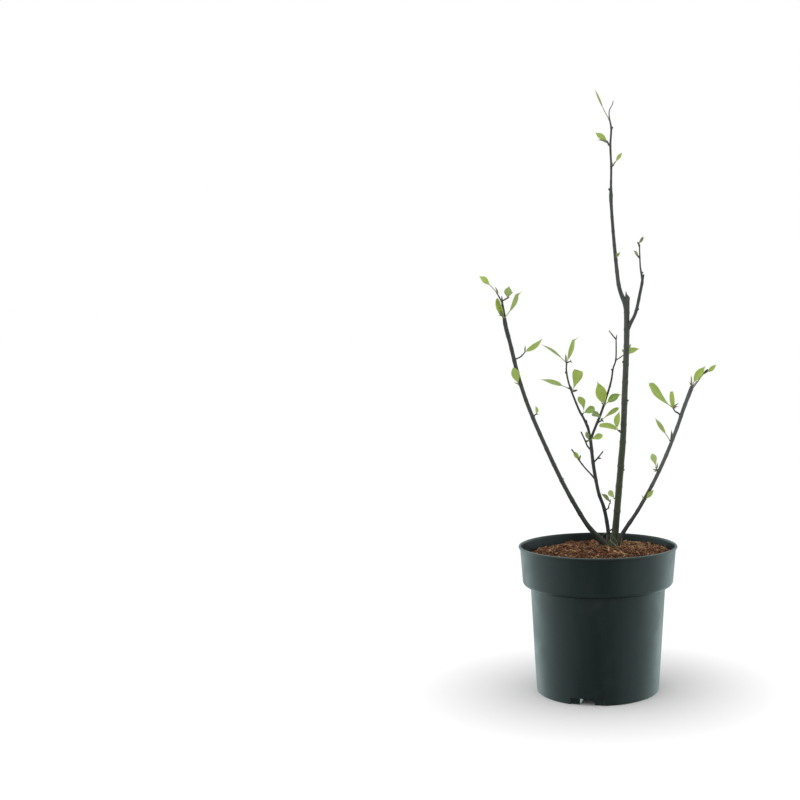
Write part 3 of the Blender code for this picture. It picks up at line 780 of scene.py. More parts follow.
@dataclass(frozen=True)
class Leaf:
    """A leaf from a share of the way along its twig.

    Its upper side faces a bearing. It bows upwards and sways sideways by shares of its length, its
    stalk is a share of its length, and its drip tip turns sideways by the hook's angle.
    """

    form: Form
    along: float
    length: float
    bearing: float
    rise: float
    faces: float
    bow: float
    tone: Tone = Tone.FRESH
    twist: float = 0.0
    stalk: float = 0.12
    sway: float = 0.0
    hook: float = 0.0


@dataclass(frozen=True)
class Bud:
    """A closed bud from a share of the way along its twig."""

    along: float
    length: float
    bearing: float
    rise: float
    diameter: float
    tone: Tone = Tone.BUD


@dataclass(frozen=True)
class Shoot:
    """A bare side shoot from a share of the way along its twig."""

    along: float
    steps: tuple[Step, ...]
    diameter: float


@dataclass(frozen=True)
class Spray:
    """A twig of length, bearing and rise steps from a height on its limb, with all it bears."""

    name: str
    limb: str
    height: float
    steps: tuple[Step, ...]
    diameter: float
    leaves: tuple[Leaf, ...] = ()
    buds: tuple[Bud, ...] = ()
    scales: tuple[Leaf, ...] = ()
    shoots: tuple[Shoot, ...] = ()


def scale(along: float, length: float, bearing: float, rise: float, tone: Tone, bow: float = 0.0) -> Leaf:
    """A bud scale or stipule: a small folded strap that faces the front."""
    return Leaf(Form.STRAP, along, length, bearing, rise, 275, bow, tone, 0.0, 0.0)


SPRAYS = (
    Spray("spray_leader_tip", "leader", 607, ((3.0, 195, 58),), 1.3,
          (Leaf(Form.SLIM, 0.2, 36.6, 220, 55.5, 285, -0.055, Tone.SOFT, 0, 0.40),), (), (),
          (Shoot(0.05, ((6, 150, 84), (5, 20, 84), (7, 30, 60), (4, 20, 78)), 1.3),)),
    Spray("spray_leader_left", "leader", 579.5, ((3.2, 170, 42),), 1.9,
          (Leaf(Form.LANCE, 1.0, 20.5, 160, 41.5, 260, 0.03, Tone.FRESH),), (Bud(0.8, 5, 165, 64, 2.1),),
          (scale(1.0, 10, 162, 34, Tone.SHEATH), scale(1.0, 13.5, 170, 21, Tone.SHEATH, 0.03))),
    Spray("spray_leader_right", "leader", 557.5, ((3.5, 330, 30),), 1.5,
          (Leaf(Form.LANCE, 0.9, 17.0, 330, 49, 270, -0.02, Tone.FRESH, 0, 0.32),),
          (Bud(0.6, 6.4, 330, 48, 1.7, Tone.STALK),),
          (scale(0.4, 4.8, 40, 84, Tone.PINK), scale(0.3, 3.5, 300, 20, Tone.PINK))),
    Spray("spray_leader_low", "leader", 459.5, ((3.0, 285, 25),), 1.7,
          (Leaf(Form.LANCE, 1.0, 6.5, 285, 78, 300, 0.0, Tone.MOSS),
           Leaf(Form.LANCE, 1.0, 8.0, 325, 51, 270, -0.06, Tone.MOSS)), (),
          (scale(1.0, 3, 220, 30, Tone.RED), scale(0.6, 6, 240, 80, Tone.SHEATH))),
    Spray("spray_side_tip", "side_shoot", 472, ((3, 150, 70),), 1.6,
          (Leaf(Form.NARROW, 1.0, 10.4, 340, 56, 262, 0.0, Tone.SHEATH),
           Leaf(Form.LANCE, 1.0, 9.4, 350, 50, 260, -0.04, Tone.MOSS)), (Bud(0.9, 2.8, 180, 60, 1.8),),
          (scale(0.6, 3.0, 180, 30, Tone.PINK),)),
    Spray("spray_side_left", "side_shoot", 460, ((2.4, 205, 30),), 1.6,
          (Leaf(Form.LANCE, 1.0, 9.0, 205, 48, 275, 0.05, Tone.MOSS),),
          (Bud(0.7, 5.4, 200, 42, 1.9, Tone.SHEATH),),
          (scale(0.6, 4.4, 190, 60, Tone.PINK),)),
    Spray("spray_left_tip", "bough_left", 410, ((6.5, 195, 62), (6, 190, 58)), 1.5,
          (Leaf(Form.BROAD, 0.95, 27.3, 220, 37, 275, 0.01, Tone.LIME, 10, 0.45),), (),
          (scale(0.75, 10, 175, 69, Tone.STALK, 0.04), scale(0.7, 7.0, 170, 66, Tone.SHEATH),
           scale(0.2, 3, 200, 40, Tone.RED))),
    Spray("spray_left_tip_right", "bough_left", 411.8, ((7.4, 30, 28),), 1.4,
          (Leaf(Form.DIAMOND, 0.9, 13.6, 310, 73.4, 270, 0.0, Tone.SOFT, 0, 0.14),
           Leaf(Form.NARROW, 1.0, 9.6, 30, 44, 280, 0.08, Tone.OLIVE)),
          (Bud(0.8, 3.6, 350, 30, 1.8, Tone.RED),),
          (scale(0.75, 3, 60, -10, Tone.RED),), (Shoot(0.03, ((5.0, 150, 84),), 1.4),)),
    Spray("spray_left_collar", "bough_left", 393.5, ((3.2, 265, 15),), 2.2,
          (Leaf(Form.FOLDED, 0.9, 22.2, 215, 69, 250, 0.0, Tone.LIME, 0, 0.03),
           Leaf(Form.HOOKED, 1.0, 34.6, 20, 63.8, 300, -0.08, Tone.SOFT, 0, 0.24, 0.0, 38)), (),
          (scale(1.0, 7.6, 195, 20, Tone.RED, 0.10), scale(1.0, 13.4, 200, 48.5, Tone.SHEATH))),
    Spray("spray_left_upper", "bough_left", 351.5, ((5.7, 20, 18), (5.2, 25, 36), (4.4, 25, 52)), 1.5,
          (Leaf(Form.CRESCENT, 1.0, 25.2, 30, 34.5, 300, -0.07, Tone.FRESH, 0, 0.03),), (),
          (scale(0.65, 2.8, 190, 52, Tone.RED), scale(0.66, 3, 60, 60, Tone.PINK),
           scale(0.95, 8.0, 60, 84, Tone.OLIVE))),
    Spray("spray_left_mid", "bough_left", 324.5, ((3.6, 230, 10),), 1.7,
          (Leaf(Form.OVAL, 1.0, 19.8, 215, 70, 270, 0.0, Tone.FRESH, 10),), (),
          (scale(0.9, 6.6, 190, 24, Tone.SHEATH), scale(0.7, 3, 300, 10, Tone.RED))),
    Spray("spray_left_low", "bough_left", 290.5, ((4.8, 345, 45),), 1.4,
          (Leaf(Form.LANCE, 1.0, 9.6, 230, 84, 275, 0.0, Tone.LIME, 0, 0.04, 0.16),),
          (Bud(1.0, 3, 330, 5, 1.4),), (scale(1.0, 4, 10, 2, Tone.SHEATH),)),
    Spray("spray_forkleft_tip", "fork_left", 347.6, ((1.2, 200, 20),), 1.5,
          (Leaf(Form.SLIM, 0.8, 35.4, 168, 35.5, 300, 0.02, Tone.SOFT, 0, 0.16),
           Leaf(Form.HOOKED, 0.6, 33.4, 340, 72, 265, -0.06, Tone.FRESH, -20, 0.08, 0.0, 46)), (),
          (scale(0.9, 11, 120, 87, Tone.SHEATH),),
          (Shoot(0.5, ((5, 340, 14), (2.4, 0, -35)), 1.3), Shoot(0.5, ((4.6, 340, 14), (2.4, 350, 60)), 1.2))),
    Spray("spray_forkleft_left", "fork_left", 318.5, ((3.5, 180, 20),), 1.4,
          (Leaf(Form.CRESCENT, 0.9, 34.2, 165, 16.5, 290, 0.0, Tone.SOFT, 10, 0.20),), (), ()),
    Spray("spray_forkleft_right", "fork_left", 315.5, ((2.6, 290, 8),), 1.7,
          (Leaf(Form.CUT, 1.0, 25.4, 335, 72, 270, -0.03, Tone.FRESH, 0, 0.06),),
          (Bud(0.8, 6.5, 345, 16, 2.5, Tone.DARK),), (scale(1.0, 7.5, 160, 74, Tone.SHEATH),)),
    Spray("spray_forkleft_low", "fork_left", 290.5, ((3.2, 310, 20),), 1.9,
          (Leaf(Form.SPOON, 1.0, 20.4, 200, 75, 290, 0.10, Tone.FRESH, -25, 0.05),
           Leaf(Form.BLUNT, 1.0, 15.8, 335, 22, 280, 0.03, Tone.DEEP, 0, 0.06)), (),
          (scale(0.8, 4, 200, 20, Tone.SHEATH),)),
    Spray("spray_fork", "bough_centre", 261, ((3.5, 230, 20),), 1.7,
          (Leaf(Form.BROAD, 1.0, 11.4, 200, 70, 285, 0.0, Tone.MOSS),
           Leaf(Form.SPOON, 0.9, 18.6, 335, 20, 290, 0.03, Tone.FRESH, 0, 0.04),
           Leaf(Form.BROAD, 1.0, 5.0, 200, -20, 280, 0.0, Tone.OLIVE)), (),
          (scale(0.9, 5, 205, 5, Tone.SHEATH),)),
    Spray("spray_forkright_pair", "fork_right", 300.6, ((2.2, 300, 5),), 1.7,
          (Leaf(Form.ROUND, 0.9, 29.4, 215, 70.5, 270, 0.0, Tone.LIME, 0, 0.08, -0.01, -12),
           Leaf(Form.ROUND, 0.9, 24.0, 340, 35, 275, 0.03, Tone.DEEP, 0, 0.22, 0.0, 40)),
          (Bud(0.9, 5, 175, 38, 1.5),), (scale(0.9, 5, 170, 35, Tone.SHEATH),)),
    Spray("spray_forkright_low", "fork_right", 281, ((7, 330, 30),), 1.5,
          (Leaf(Form.SAIL, 1.0, 25.4, 345, 35.5, 300, 0.03, Tone.FRESH, 0, 0.14),
           Leaf(Form.CUT, 1.0, 14.0, 200, 36, 262, 0.12, Tone.COOL, 0, 0.06)),
          (Bud(0.8, 3.8, 340, 60, 2.0, Tone.BUD), Bud(0.95, 3.2, 330, -20, 1.7, Tone.BUD)), ()),
    Spray("spray_forkright_behind", "fork_right", 350.4, ((8, 40, 26), (7, 35, 32)), 1.3,
          (Leaf(Form.LANCE, 1.0, 19.2, 335, 17.5, 285, 0.02, Tone.FRESH, 0, 0.0),
           Leaf(Form.LANCE, 0.95, 14.5, 5, 56, 270, 0.0, Tone.FRESH),
           Leaf(Form.OVAL, 1.0, 6.6, 185, 58, 275, 0.0, Tone.SOFT)), (), ()),
    Spray("spray_trunk_left", "trunk", 270, ((9, 215, 35),), 1.3,
          (Leaf(Form.RIBBON, 1.0, 22.4, 200, 14.0, 262, 0.07, Tone.FRESH, 0, 0.08),
           Leaf(Form.LANCE, 1.0, 21.6, 300, 79, 262, 0.0, Tone.LIME, 0, 0.12, -0.08)),
          (Bud(0.9, 2.8, 340, 10, 1.7, Tone.DARK),),
          (scale(0.8, 4, 20, 15, Tone.SHEATH), scale(0.9, 3, 250, 40, Tone.PINK))),
    Spray("spray_centre_foot", "bough_centre", 187, ((5.3, 325, 24), (4, 310, 70), (3, 330, 62)), 1.5,
          (Leaf(Form.LANCE, 1.0, 16.6, 215, 42, 300, 0.03, Tone.MOSS),), (Bud(1.0, 4, 30, 85, 1.7),),
          (scale(0.9, 3.5, 350, 10, Tone.RED),)),
    Spray("spray_trunk_foot", "trunk", 196.5, ((6.0, 225, 42),), 1.0,
          (Leaf(Form.BLUNT, 0.9, 13.2, 212, 49, 270, 0.0, Tone.PALE, 0, 0.2),), (),
          (scale(0.9, 4, 160, 20, Tone.SHEATH),)),
    Spray("spray_right_tip", "bough_right", 322.4,
          ((1.5, 0, -10), (5.5, 15, 50), (7, 10, 54), (5.5, 5, 52)), 1.2,
          (Leaf(Form.FOLDED, 0.95, 8.5, 0, 45, 290, 0.0, Tone.DARK, 0, 0.03),
           Leaf(Form.LANCE, 0.0, 27.5, 335, 55.5, 275, 0.05, Tone.LIME, 0, 0.22),
           Leaf(Form.LANCE, 0.98, 19.6, 325, 33, 290, -0.06, Tone.FRESH, 0, 0.34)),
          (Bud(0.0, 12.6, 190, 87, 1.7, Tone.SHEATH),),
          (scale(0.0, 7.4, 195, 62, Tone.RED), scale(0.0, 7, 190, 78, Tone.OLIVE)),
          (Shoot(0.0, ((8.2, 0, 50),), 1.0),)),
    Spray("spray_right_upper", "bough_right", 291.5, ((4.4, 205, 48), (4.4, 200, 28), (4.8, 205, 56)), 1.7,
          (Leaf(Form.SAIL, 1.0, 39.7, 200, 46.5, 262, -0.075, Tone.FRESH, 0, 0.08, 0.0, -22),
           Leaf(Form.RIBBON, 0.96, 18.2, 200, 84, 268, 0.0, Tone.LIME, 0, 0.04, -0.02)), (),
          (scale(0.86, 7.0, 350, 26, Tone.RED, 0.12), scale(0.9, 3.4, 330, 10, Tone.PINK),
           scale(0.95, 9.8, 330, 42, Tone.SHEATH))),
    Spray("spray_right_mid", "bough_right", 264, ((3, 190, 45),), 1.5,
          (Leaf(Form.NARROW, 0.8, 29.2, 165, 55.5, 258, 0.0, Tone.SOFT, 0, 0.28),), (),
          (scale(0.0, 4.8, 300, 74, Tone.PINK), scale(0.5, 13, 30, 86, Tone.SHEATH, -0.05))),
    Spray("spray_right_low", "bough_right", 232, ((3.6, 200, 40),), 1.6,
          (Leaf(Form.SPOON, 1.0, 18.8, 213, 71, 270, 0.03, Tone.PALE, 0, 0.10),),
          (Bud(0.8, 4.6, 190, 8, 1.7, Tone.SHEATH), Bud(0.6, 3.6, 190, -20, 1.4, Tone.SHEATH)),
          (scale(1.0, 8.5, 40, 76, Tone.SHEATH), scale(0.9, 3, 260, 0, Tone.RED),
           scale(0.9, 5.5, 200, 60, Tone.SHEATH))),
    Spray("spray_right_foot", "bough_right", 200.5, ((3.2, 320, 20),), 1.6,
          (Leaf(Form.LANCE, 1.0, 15.2, 330, 49.5, 285, 0.03, Tone.FRESH),), (),
          (scale(0.0, 8.5, 230, 58, Tone.PALE), scale(0.8, 4, 230, -30, Tone.SHEATH))),
    Spray("twig_forkright_top", "fork_right", 373.6, ((6, 182, 49), (6.3, 192, 52)), 1.4),
    Spray("twig_centre_mid", "bough_centre", 251, ((8, 220, 42), (6, 202, 66), (11.5, 197, 64)), 2.0),
    Spray("twig_centre_low", "bough_centre", 219.5, ((9, 215, 45), (15, 208, 46), (21.5, 200, 54)), 1.9,
          (Leaf(Form.BROAD, 0.68, 12.2, 198, 55, 285, 0.0, Tone.FRESH, 0, 0.04),
           Leaf(Form.LANCE, 0.68, 7, 340, 70, 280, 0.0, Tone.MOSS)), (),
          (scale(0.66, 5, 30, 70, Tone.SHEATH),)),
    Spray("twig_centre_right", "bough_centre", 238, ((6.5, 340, 43), (11, 335, 50)), 1.8, (),
          (Bud(0.42, 4.4, 340, 0, 1.8),)),
)


# Hand modelling with operators

def select_none() -> None:
    """Deselect every object."""
    for item in bpy.context.selected_objects:
        item.select_set(False)


def choose(item: bpy.types.Object) -> None:
    """Make an object the only selected and active one.

    Args:
        item: the object.
    """
    select_none()
    item.select_set(True)
    bpy.context.view_layer.objects.active = item


def apply_modifiers(item: bpy.types.Object) -> None:
    """Apply an object's modifiers in order.

    Args:
        item: the object.
    """
    choose(item)
    for modifier in list(item.modifiers):
        bpy.ops.object.modifier_apply(modifier=modifier.name)


def turned(name: str, profile: Sequence[tuple[float, float]], sides: int) -> bpy.types.Object:
    """A closed solid turned about the Z axis.

    Args:
        name: the object's name.
        profile: radius and height in metres, from the foot up, never on the axis.
        sides: points round the solid.

    Returns:
        The new object, its two ends filled flat.
    """
    select_none()
    radius, level = profile[0]
    bpy.ops.mesh.primitive_circle_add(vertices=sides, radius=radius, fill_type="NGON", location=(0, 0, 0))
    item = bpy.context.object
    item.name = name
    bpy.ops.object.mode_set(mode="EDIT")
    bpy.ops.transform.translate(value=(0, 0, level))
    for (radius, level), (next_radius, next_level) in zip(profile, profile[1:]):
        rise = (0, 0, next_level - level)
        bpy.ops.mesh.extrude_region_move(TRANSFORM_OT_translate={"value": rise})
        share = next_radius / radius
        bpy.ops.transform.resize(value=(share, share, 1), center_override=(0, 0, next_level))
    bpy.ops.mesh.select_all(action="SELECT")
    bpy.ops.mesh.normals_make_consistent(inside=False)
    bpy.ops.object.mode_set(mode="OBJECT")
    return item


def block(name: str, bearing: float, inner: float, outer: float, width: float, low: float, high: float,
          rounding: float) -> bpy.types.Object:
    """A box with rounded edges whose middle line runs out from the pot's axis.

    Args:
        name: the object's name.
        bearing: the middle line's bearing in degrees.
        inner: the near end's distance from the axis, in metres.
        outer: the far end's distance.
        width: the box's width.
        low: its underside.
        high: its top.
        rounding: the edges' radius.

    Returns:
        The new object.
    """
    select_none()
    bpy.ops.mesh.primitive_cube_add(size=1, location=(0, 0, 0))
    item = bpy.context.object
    item.name = name
    size = Matrix.Diagonal((outer - inner, width, high - low, 1))
    place = Matrix.Translation(((inner + outer) / 2, 0, (low + high) / 2))
    item.data.transform(Matrix.Rotation(math.radians(bearing), 4, "Z") @ place @ size)
    rounder = item.modifiers.new("Round", "BEVEL")
    rounder.width = rounding
    rounder.segments = 4
    apply_modifiers(item)
    return item


def carve(item: bpy.types.Object, tools: Sequence[bpy.types.Object]) -> None:
    """Cut each tool in turn out of an object by an exact Boolean, and remove the tools.

    Args:
        item: the object that is cut.
        tools: the objects whose space is taken out of it.
    """
    for tool in tools:
        step = item.modifiers.new("Carve", "BOOLEAN")
        step.operation = "DIFFERENCE"
        step.solver = "EXACT"
        step.object = tool
        apply_modifiers(item)
        bpy.data.objects.remove(tool, do_unlink=True)


def dress(item: bpy.types.Object, materials: Sequence[bpy.types.Material]) -> None:
    """Give an object its materials in place of any it has.

    Args:
        item: the object.
        materials: its new materials, in order.
    """
    item.data.materials.clear()
    for material in materials:
        item.data.materials.append(material)


def enter(item: bpy.types.Object, slot: str, nodes: Sequence[str]) -> None:
    """Let a finished piece ride with the plant and stand for its nodes, whose solids are hidden.

    Args:
        item: the piece.
        slot: its slot; not used.
        nodes: the solids it stands for, if any.
    """
    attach(item, BODY)
    if nodes:
        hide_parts(*nodes)
    LOG.info("%s: %d points, stands for %s", item.name, len(item.data.vertices), ", ".join(nodes) or "nothing")


@dataclass
class Pot:
    """The nursery pot: a turned thin shell with a rolled rim, a stepped collar and drain notches."""

    sides: int = 192
    wall: float = 0.0014
    foot_radius: float = 0.0654
    body_top_radius: float = 0.0724
    ledge_height: float = 0.1105
    ledge_tuck: tuple[float, float] = (0.0004, 0.0012)
    collar_foot: tuple[float, float] = (0.0805, 0.1160)
    collar_top: tuple[float, float] = (0.0834, 0.1506)
    rim_radius: float = 0.0850
    bead_arc: tuple[float, float] = (-40, 130)
    height: float = 0.1530
    foot_round: float = 0.0012
    notch_bearings: tuple[int, ...] = (260, 20, 140)
    notch_size: tuple[float, float, float] = (0.0360, 0.0070, 0.0042)
    channel_size: tuple[float, float] = (0.0155, 0.0260)
    notch_round: float = 0.0009
    hump_round: float = 0.0010
    margin: float = 0.005
    crease: float = 32
    arc_steps: int = 7
    finish: PlasticFinish = field(default_factory=PlasticFinish)

    def outer(self) -> list[tuple[float, float]]:
        """The outline from the foot to the top of the rim.

        Returns:
            Radius and height in metres, point by point.
        """
        quarter = [k / self.arc_steps * math.pi / 2 for k in range(self.arc_steps + 1)]
        foot = self.foot_round
        points = []
        for turn in quarter:
            points.append((self.foot_radius - foot * (1 - math.sin(turn)), foot * (1 - math.cos(turn))))
        inward, down = self.ledge_tuck
        points.append((self.body_top_radius - inward, self.ledge_height - down))
        reach = self.collar_foot[0] - self.body_top_radius
        drop = self.collar_foot[1] - self.ledge_height
        for turn in quarter:
            level = self.collar_foot[1] - drop * math.cos(turn)
            points.append((self.body_top_radius + reach * math.sin(turn), level))
        points.append(self.collar_top)
        bead = (self.height - self.collar_top[1]) / 2
        start, sweep = self.bead_arc
        for k in range(self.arc_steps + 1):
            turn = math.radians(start + sweep * k / self.arc_steps)
            level = self.height - bead + bead * math.sin(turn)
            points.append((self.rim_radius - bead + bead * math.cos(turn), level))
        return points

    def inner(self) -> list[tuple[float, float]]:
        """The outline of the space inside the wall, from the floor to over the rim.

        Returns:
            Radius and height in metres, point by point.
        """
        thick = self.wall
        ledge = self.ledge_height + thick
        body = self.body_top_radius - thick
        collar = self.collar_foot[0] - thick
        mouth = self.collar_top[0] - thick
        return [
            (self.foot_radius - thick, thick),
            (body, ledge - 0.0006),
            (body + 0.0008, ledge),
            (collar - 0.0012, ledge + 0.0028),
            (collar, self.collar_foot[1] + thick),
            (mouth, self.collar_top[1]),
            (mouth + 0.0003, self.height - 0.0008),
            (mouth + 0.0010, self.height + 0.0004),
            (self.collar_top[0], self.height + 0.0040),
        ]

    def build(self) -> bpy.types.Object:
        """Turn the shell, leave humps over the notches and cut the notches.

        Returns:
            The pot.
        """
        shell = turned("pot_shell", self.outer(), self.sides)
        cavity = turned("cavity", self.inner(), self.sides)
        width, rise, depth = self.notch_size
        slim, deep = self.channel_size
        near = self.foot_radius - deep - self.wall
        humps = []
        for bearing in self.notch_bearings:
            humps.append(block("hump", bearing, near, self.foot_radius + self.margin, width + 2 * self.wall,
                               -self.margin, rise + self.wall, self.hump_round))
        carve(cavity, humps)
        carve(shell, [cavity])
        cuts = []
        for bearing in self.notch_bearings:
            for inward, across in ((depth, width), (deep, slim)):
                cuts.append(block("cut", bearing, self.foot_radius - inward, self.rim_radius, across,
                                  -self.margin, rise, self.notch_round))
        carve(shell, cuts)
        choose(shell)
        bpy.ops.object.shade_smooth_by_angle(angle=math.radians(self.crease))
        dress(shell, [self.finish.material("pot_plastic")])
        return shell


@dataclass(frozen=True)
class Litter:
    """A kind of fibre strewn on the peat.

    It has so many fibres, whose lengths and radii lie in two spans, with shorter ones commoner the
    larger the bias. Each rises by up to a lift and curls by up to an angle, and its browns are dealt
    out by weight: brown, tan and dark, the near-black dark ones partly painted shade. They lie round
    a middle, between two distances from it.
    """

    count: int
    length: tuple[float, float]
    bias: float
    radius: tuple[float, float]
    lift: float
    curl: float
    browns: tuple[int, int, int]
    middle: tuple[float, float] = (0.0, 0.0)
    spread: tuple[float, float] = (0.0, 78.0)


FINE_THREADS = Litter(1500, (3, 18), 2.2, (0.07, 0.17), 1.5, 50, (5, 3, 3))
COARSE_STRANDS = Litter(420, (6, 22), 1.6, (0.18, 0.38), 2.4, 35, (5, 3, 3))
FOOT_FIBRES = Litter(90, (4, 10), 1.2, (0.08, 0.18), 2.2, 40, (1, 6, 0), (16.0, 13.0), (7.0, 16.0))
BACK_STALKS = Litter(110, (9, 24), 1.2, (0.12, 0.26), 3.0, 30, (1, 6, 1), (44.0, 22.0), (0.0, 28.0))


@dataclass
class PeatBed:
    """The peat: a domed fibrous surface with clods, crumbs and fibres lying on it.

    The surface's lumps, clots and mat each have a number of features per millimetre and a height.
    """

    flat_radius: float = 34.0
    level: float = 149.7
    edge: float = 142.0
    tilt: float = 3.5
    tilt_bearing: float = 30.0
    power: float = 1.5
    settled: float = 1.3
    heap: tuple[float, float] = (1.3, 15.0)
    lumps: tuple[float, float] = (0.055, 1.1)
    clots: tuple[float, float] = (0.17, 1.3)
    clot_shift: Step = (3.1, 7.7, 0.0)
    mat: tuple[float, float] = (0.34, 0.9)
    mat_mean: float = 0.9
    reach: float = 80.0
    underside: tuple[tuple[float, float], ...] = ((62.0, 9.6), (70.4, 110.6), (74.6, 113.2), (79.0, 120.0))
    rings: int = 104
    spokes: int = 288
    clods: int = 300
    clod_size: tuple[float, float] = (1.2, 2.3)
    crumbs: int = 1700
    crumb_size: tuple[float, float] = (0.35, 1.3)
    crumb_width: tuple[float, float] = (0.45, 1.0)
    crumb_height: tuple[float, float] = (0.35, 0.8)
    crumb_lean: float = 0.6
    crumb_margin: float = 2.4
    # the crumbs' browns by weight: brown, near-black and tan; the near-black ones are dealt out most, partly as
    # painted shade between the crumbs
    crumb_browns: tuple[int, int, int] = (10, 14, 3)
    fibre_bits: int = 6
    litters: tuple[Litter, ...] = (COARSE_STRANDS, FINE_THREADS, FOOT_FIBRES, BACK_STALKS)
    stem_place: tuple[float, float] = (15.0, 12.5)
    seed: int = 7

    def plain(self, x: float, y: float) -> float:
        """The dome's level at a place, in millimetres.

        Args:
            x: the place's distance along X.
            y: its distance along Y.

        Returns:
            The level.
        """
        radius = math.hypot(x, y)
        turn = math.atan2(y, x) - math.radians(self.tilt_bearing)
        edge = self.edge + self.tilt * math.cos(turn)
        slope = max(0.0, (radius - self.flat_radius) / (self.reach - self.flat_radius))
        return self.level - (self.level - edge) * slope**self.power

    def surface(self, x: float, y: float) -> float:
        """The dome's level with its lumps and matted fibre.

        Args:
            x: the place's distance along X, in millimetres.
            y: its distance along Y.

        Returns:
            The level.
        """
        spot = Vector((x, y, 0))
        lumps = self.lumps[1] * noise.fractal(spot * self.lumps[0], 0.7, 2.1, 3)
        clots = self.clots[1] * noise.fractal(spot * self.clots[0] + Vector(self.clot_shift), 0.8, 2.0, 2)
        matted = noise.ridged_multi_fractal(spot * self.mat[0], 0.9, 2.2, 4, 1.0, 2.0)
        near_stem = math.hypot(x - self.stem_place[0], y - self.stem_place[1])
        heap = self.heap[0] * math.exp(-(near_stem / self.heap[1]) ** 2)
        return self.plain(x, y) - self.settled + heap + lumps + clots + self.mat[1] * (matted - self.mat_mean)

    def bed(self) -> MeshPile:
        """The bed's surface, closed by a plain underside inside the pot.

        Returns:
            The bed as one closed shape.
        """
        rows = []
        for radius, level in self.underside:
            rows.append([heading(360 * k / self.spokes, 0) * radius + UP * level for k in range(self.spokes)])
        for ring in range(self.rings):
            radius = self.reach * (1 - ring / self.rings)
            row = []
            for k in range(self.spokes):
                spot = heading(360 * k / self.spokes, 0) * radius
                row.append(spot + UP * self.surface(spot.x, spot.y))
            rows.append(row)
        pile = MeshPile()
        pile.add(*skin(rows))
        return pile

    def scatter(self, chance: random.Random, margin: float) -> Vector:
        """An even random place on the surface, a margin inside the wall.

        Args:
            chance: the random draws.
            margin: millimetres kept from the surface's edge.

        Returns:
            The place.
        """
        radius = (self.reach - margin) * math.sqrt(chance.random())
        turn = chance.uniform(0, 2 * math.pi)
        x, y = radius * math.cos(turn), radius * math.sin(turn)
        return Vector((x, y, self.surface(x, y)))

    def crumb_pile(self) -> MeshPile:
        """Crumbs and larger clods, each a bent and flattened lump half sunk in the surface.

        Returns:
            The crumbs, each with the number of its brown.
        """
        chance = random.Random(self.seed)
        shape = bmesh.new()
        bmesh.ops.create_icosphere(shape, subdivisions=1, radius=1)
        corners = [vert.co.copy() for vert in shape.verts]
        faces = [tuple(vert.index for vert in face.verts) for face in shape.faces]
        shape.free()
        pile = MeshPile()
        least, more = self.crumb_size
        for k in range(self.clods + self.crumbs):
            size = chance.uniform(*self.clod_size) if k < self.clods else least + more * chance.random() ** 3
            spot = self.scatter(chance, self.crumb_margin)
            wide, high = chance.uniform(*self.crumb_width), chance.uniform(*self.crumb_height)
            stretch = Vector((1.0, wide, high)) * size
            turn = Matrix.Rotation(chance.uniform(0, 6.3), 3, "Z")
            spin = turn @ Matrix.Rotation(chance.uniform(-self.crumb_lean, self.crumb_lean), 3, "X")
            points = []
            for corner in corners:
                bent = corner * (1 + 0.5 * noise.noise(corner * 1.6 + spot))
                points.append(spot + UP * size * 0.1 + spin @ Vector(a * b for a, b in zip(bent, stretch)))
            pile.add(points, faces, chance.choices((0, 1, 2), weights=self.crumb_browns)[0])
        return pile

    def fibre(self, litter: Litter, chance: random.Random) -> tuple[list[Vector], list[Face]]:
        """One flattened fibre that lies bent on the surface.

        Args:
            litter: its kind.
            chance: the random draws.

        Returns:
            The fibre's points and faces.
        """
        near, far = litter.spread
        off = math.sqrt(chance.uniform(near**2, far**2))
        start = Vector((*litter.middle, 0)) + heading(chance.uniform(0, 360), 0) * off
        short, long = litter.length
        length = short + (long - short) * chance.random() ** litter.bias
        way, curl = chance.uniform(0, 360), chance.uniform(-litter.curl, litter.curl)
        lift = 0.25 + litter.lift * chance.random() ** 2.5
        thick, flat = chance.uniform(*litter.radius), chance.uniform(0.4, 1.0)
        bits = self.fibre_bits
        middles = []
        for k in range(bits + 1):
            t = k / bits
            spot = start + heading(way + curl * t, 0) * length * (t - 0.5)
            spot /= max(1.0, spot.length / (self.reach - 1.2))
            middles.append(spot + UP * (self.surface(spot.x, spot.y) + 0.1 + lift * math.sin(math.pi * t)))
        rings = []
        for k, middle in enumerate(middles):
            along = (middles[min(k + 1, bits)] - middles[max(k - 1, 0)]).normalized()
            side = along.cross(UP).normalized()
            over = side.cross(along)
            radius = thick * (0.35 + 0.65 * math.sin(math.pi * (0.08 + 0.84 * k / bits)))
            ring = []
            for corner in range(4):
                turn = math.pi / 4 + math.pi / 2 * corner
                ring.append(middle + side * math.cos(turn) * radius / flat + over * math.sin(turn) * radius)
            rings.append(ring)
        return skin(rings)

    def litter_pile(self) -> MeshPile:
        """All the fibres, in three browns.

        Returns:
            The fibres, each with the number of its brown.
        """
        chance = random.Random(self.seed + 1)
        pile = MeshPile()
        for litter in self.litters:
            for _ in range(litter.count):
                pile.add(*self.fibre(litter, chance), chance.choices((0, 1, 2), weights=litter.browns)[0])
        return pile

    def build(self) -> list[bpy.types.Object]:
        """The bed, its crumbs and its threads.

        Returns:
            The three pieces, in that order.
        """
        # the near-black crumbs and threads are partly dark peat and partly painted shade, darkening the peat
        # where the even light leaves little shadow
        crumbs = (("peat_crumbly", PEAT_CRUMB), ("peat_dark_and_shade", DARK_PEAT_AND_SHADE), ("peat_dry", FIBRE_TAN))
        threads = (("thread_brown", FIBRE_BROWN), ("thread_tan", FIBRE_TAN), ("thread_dark_and_shade", DARK_PEAT_AND_SHADE))
        return [
            self.bed().piece("peat_bed", [PEAT_BED.material("peat_matted")]),
            self.crumb_pile().piece("peat_crumbs", [finish.material(name) for name, finish in crumbs], 40),
            self.litter_pile().piece("peat_threads", [finish.material(name) for name, finish in threads], 80),
        ]


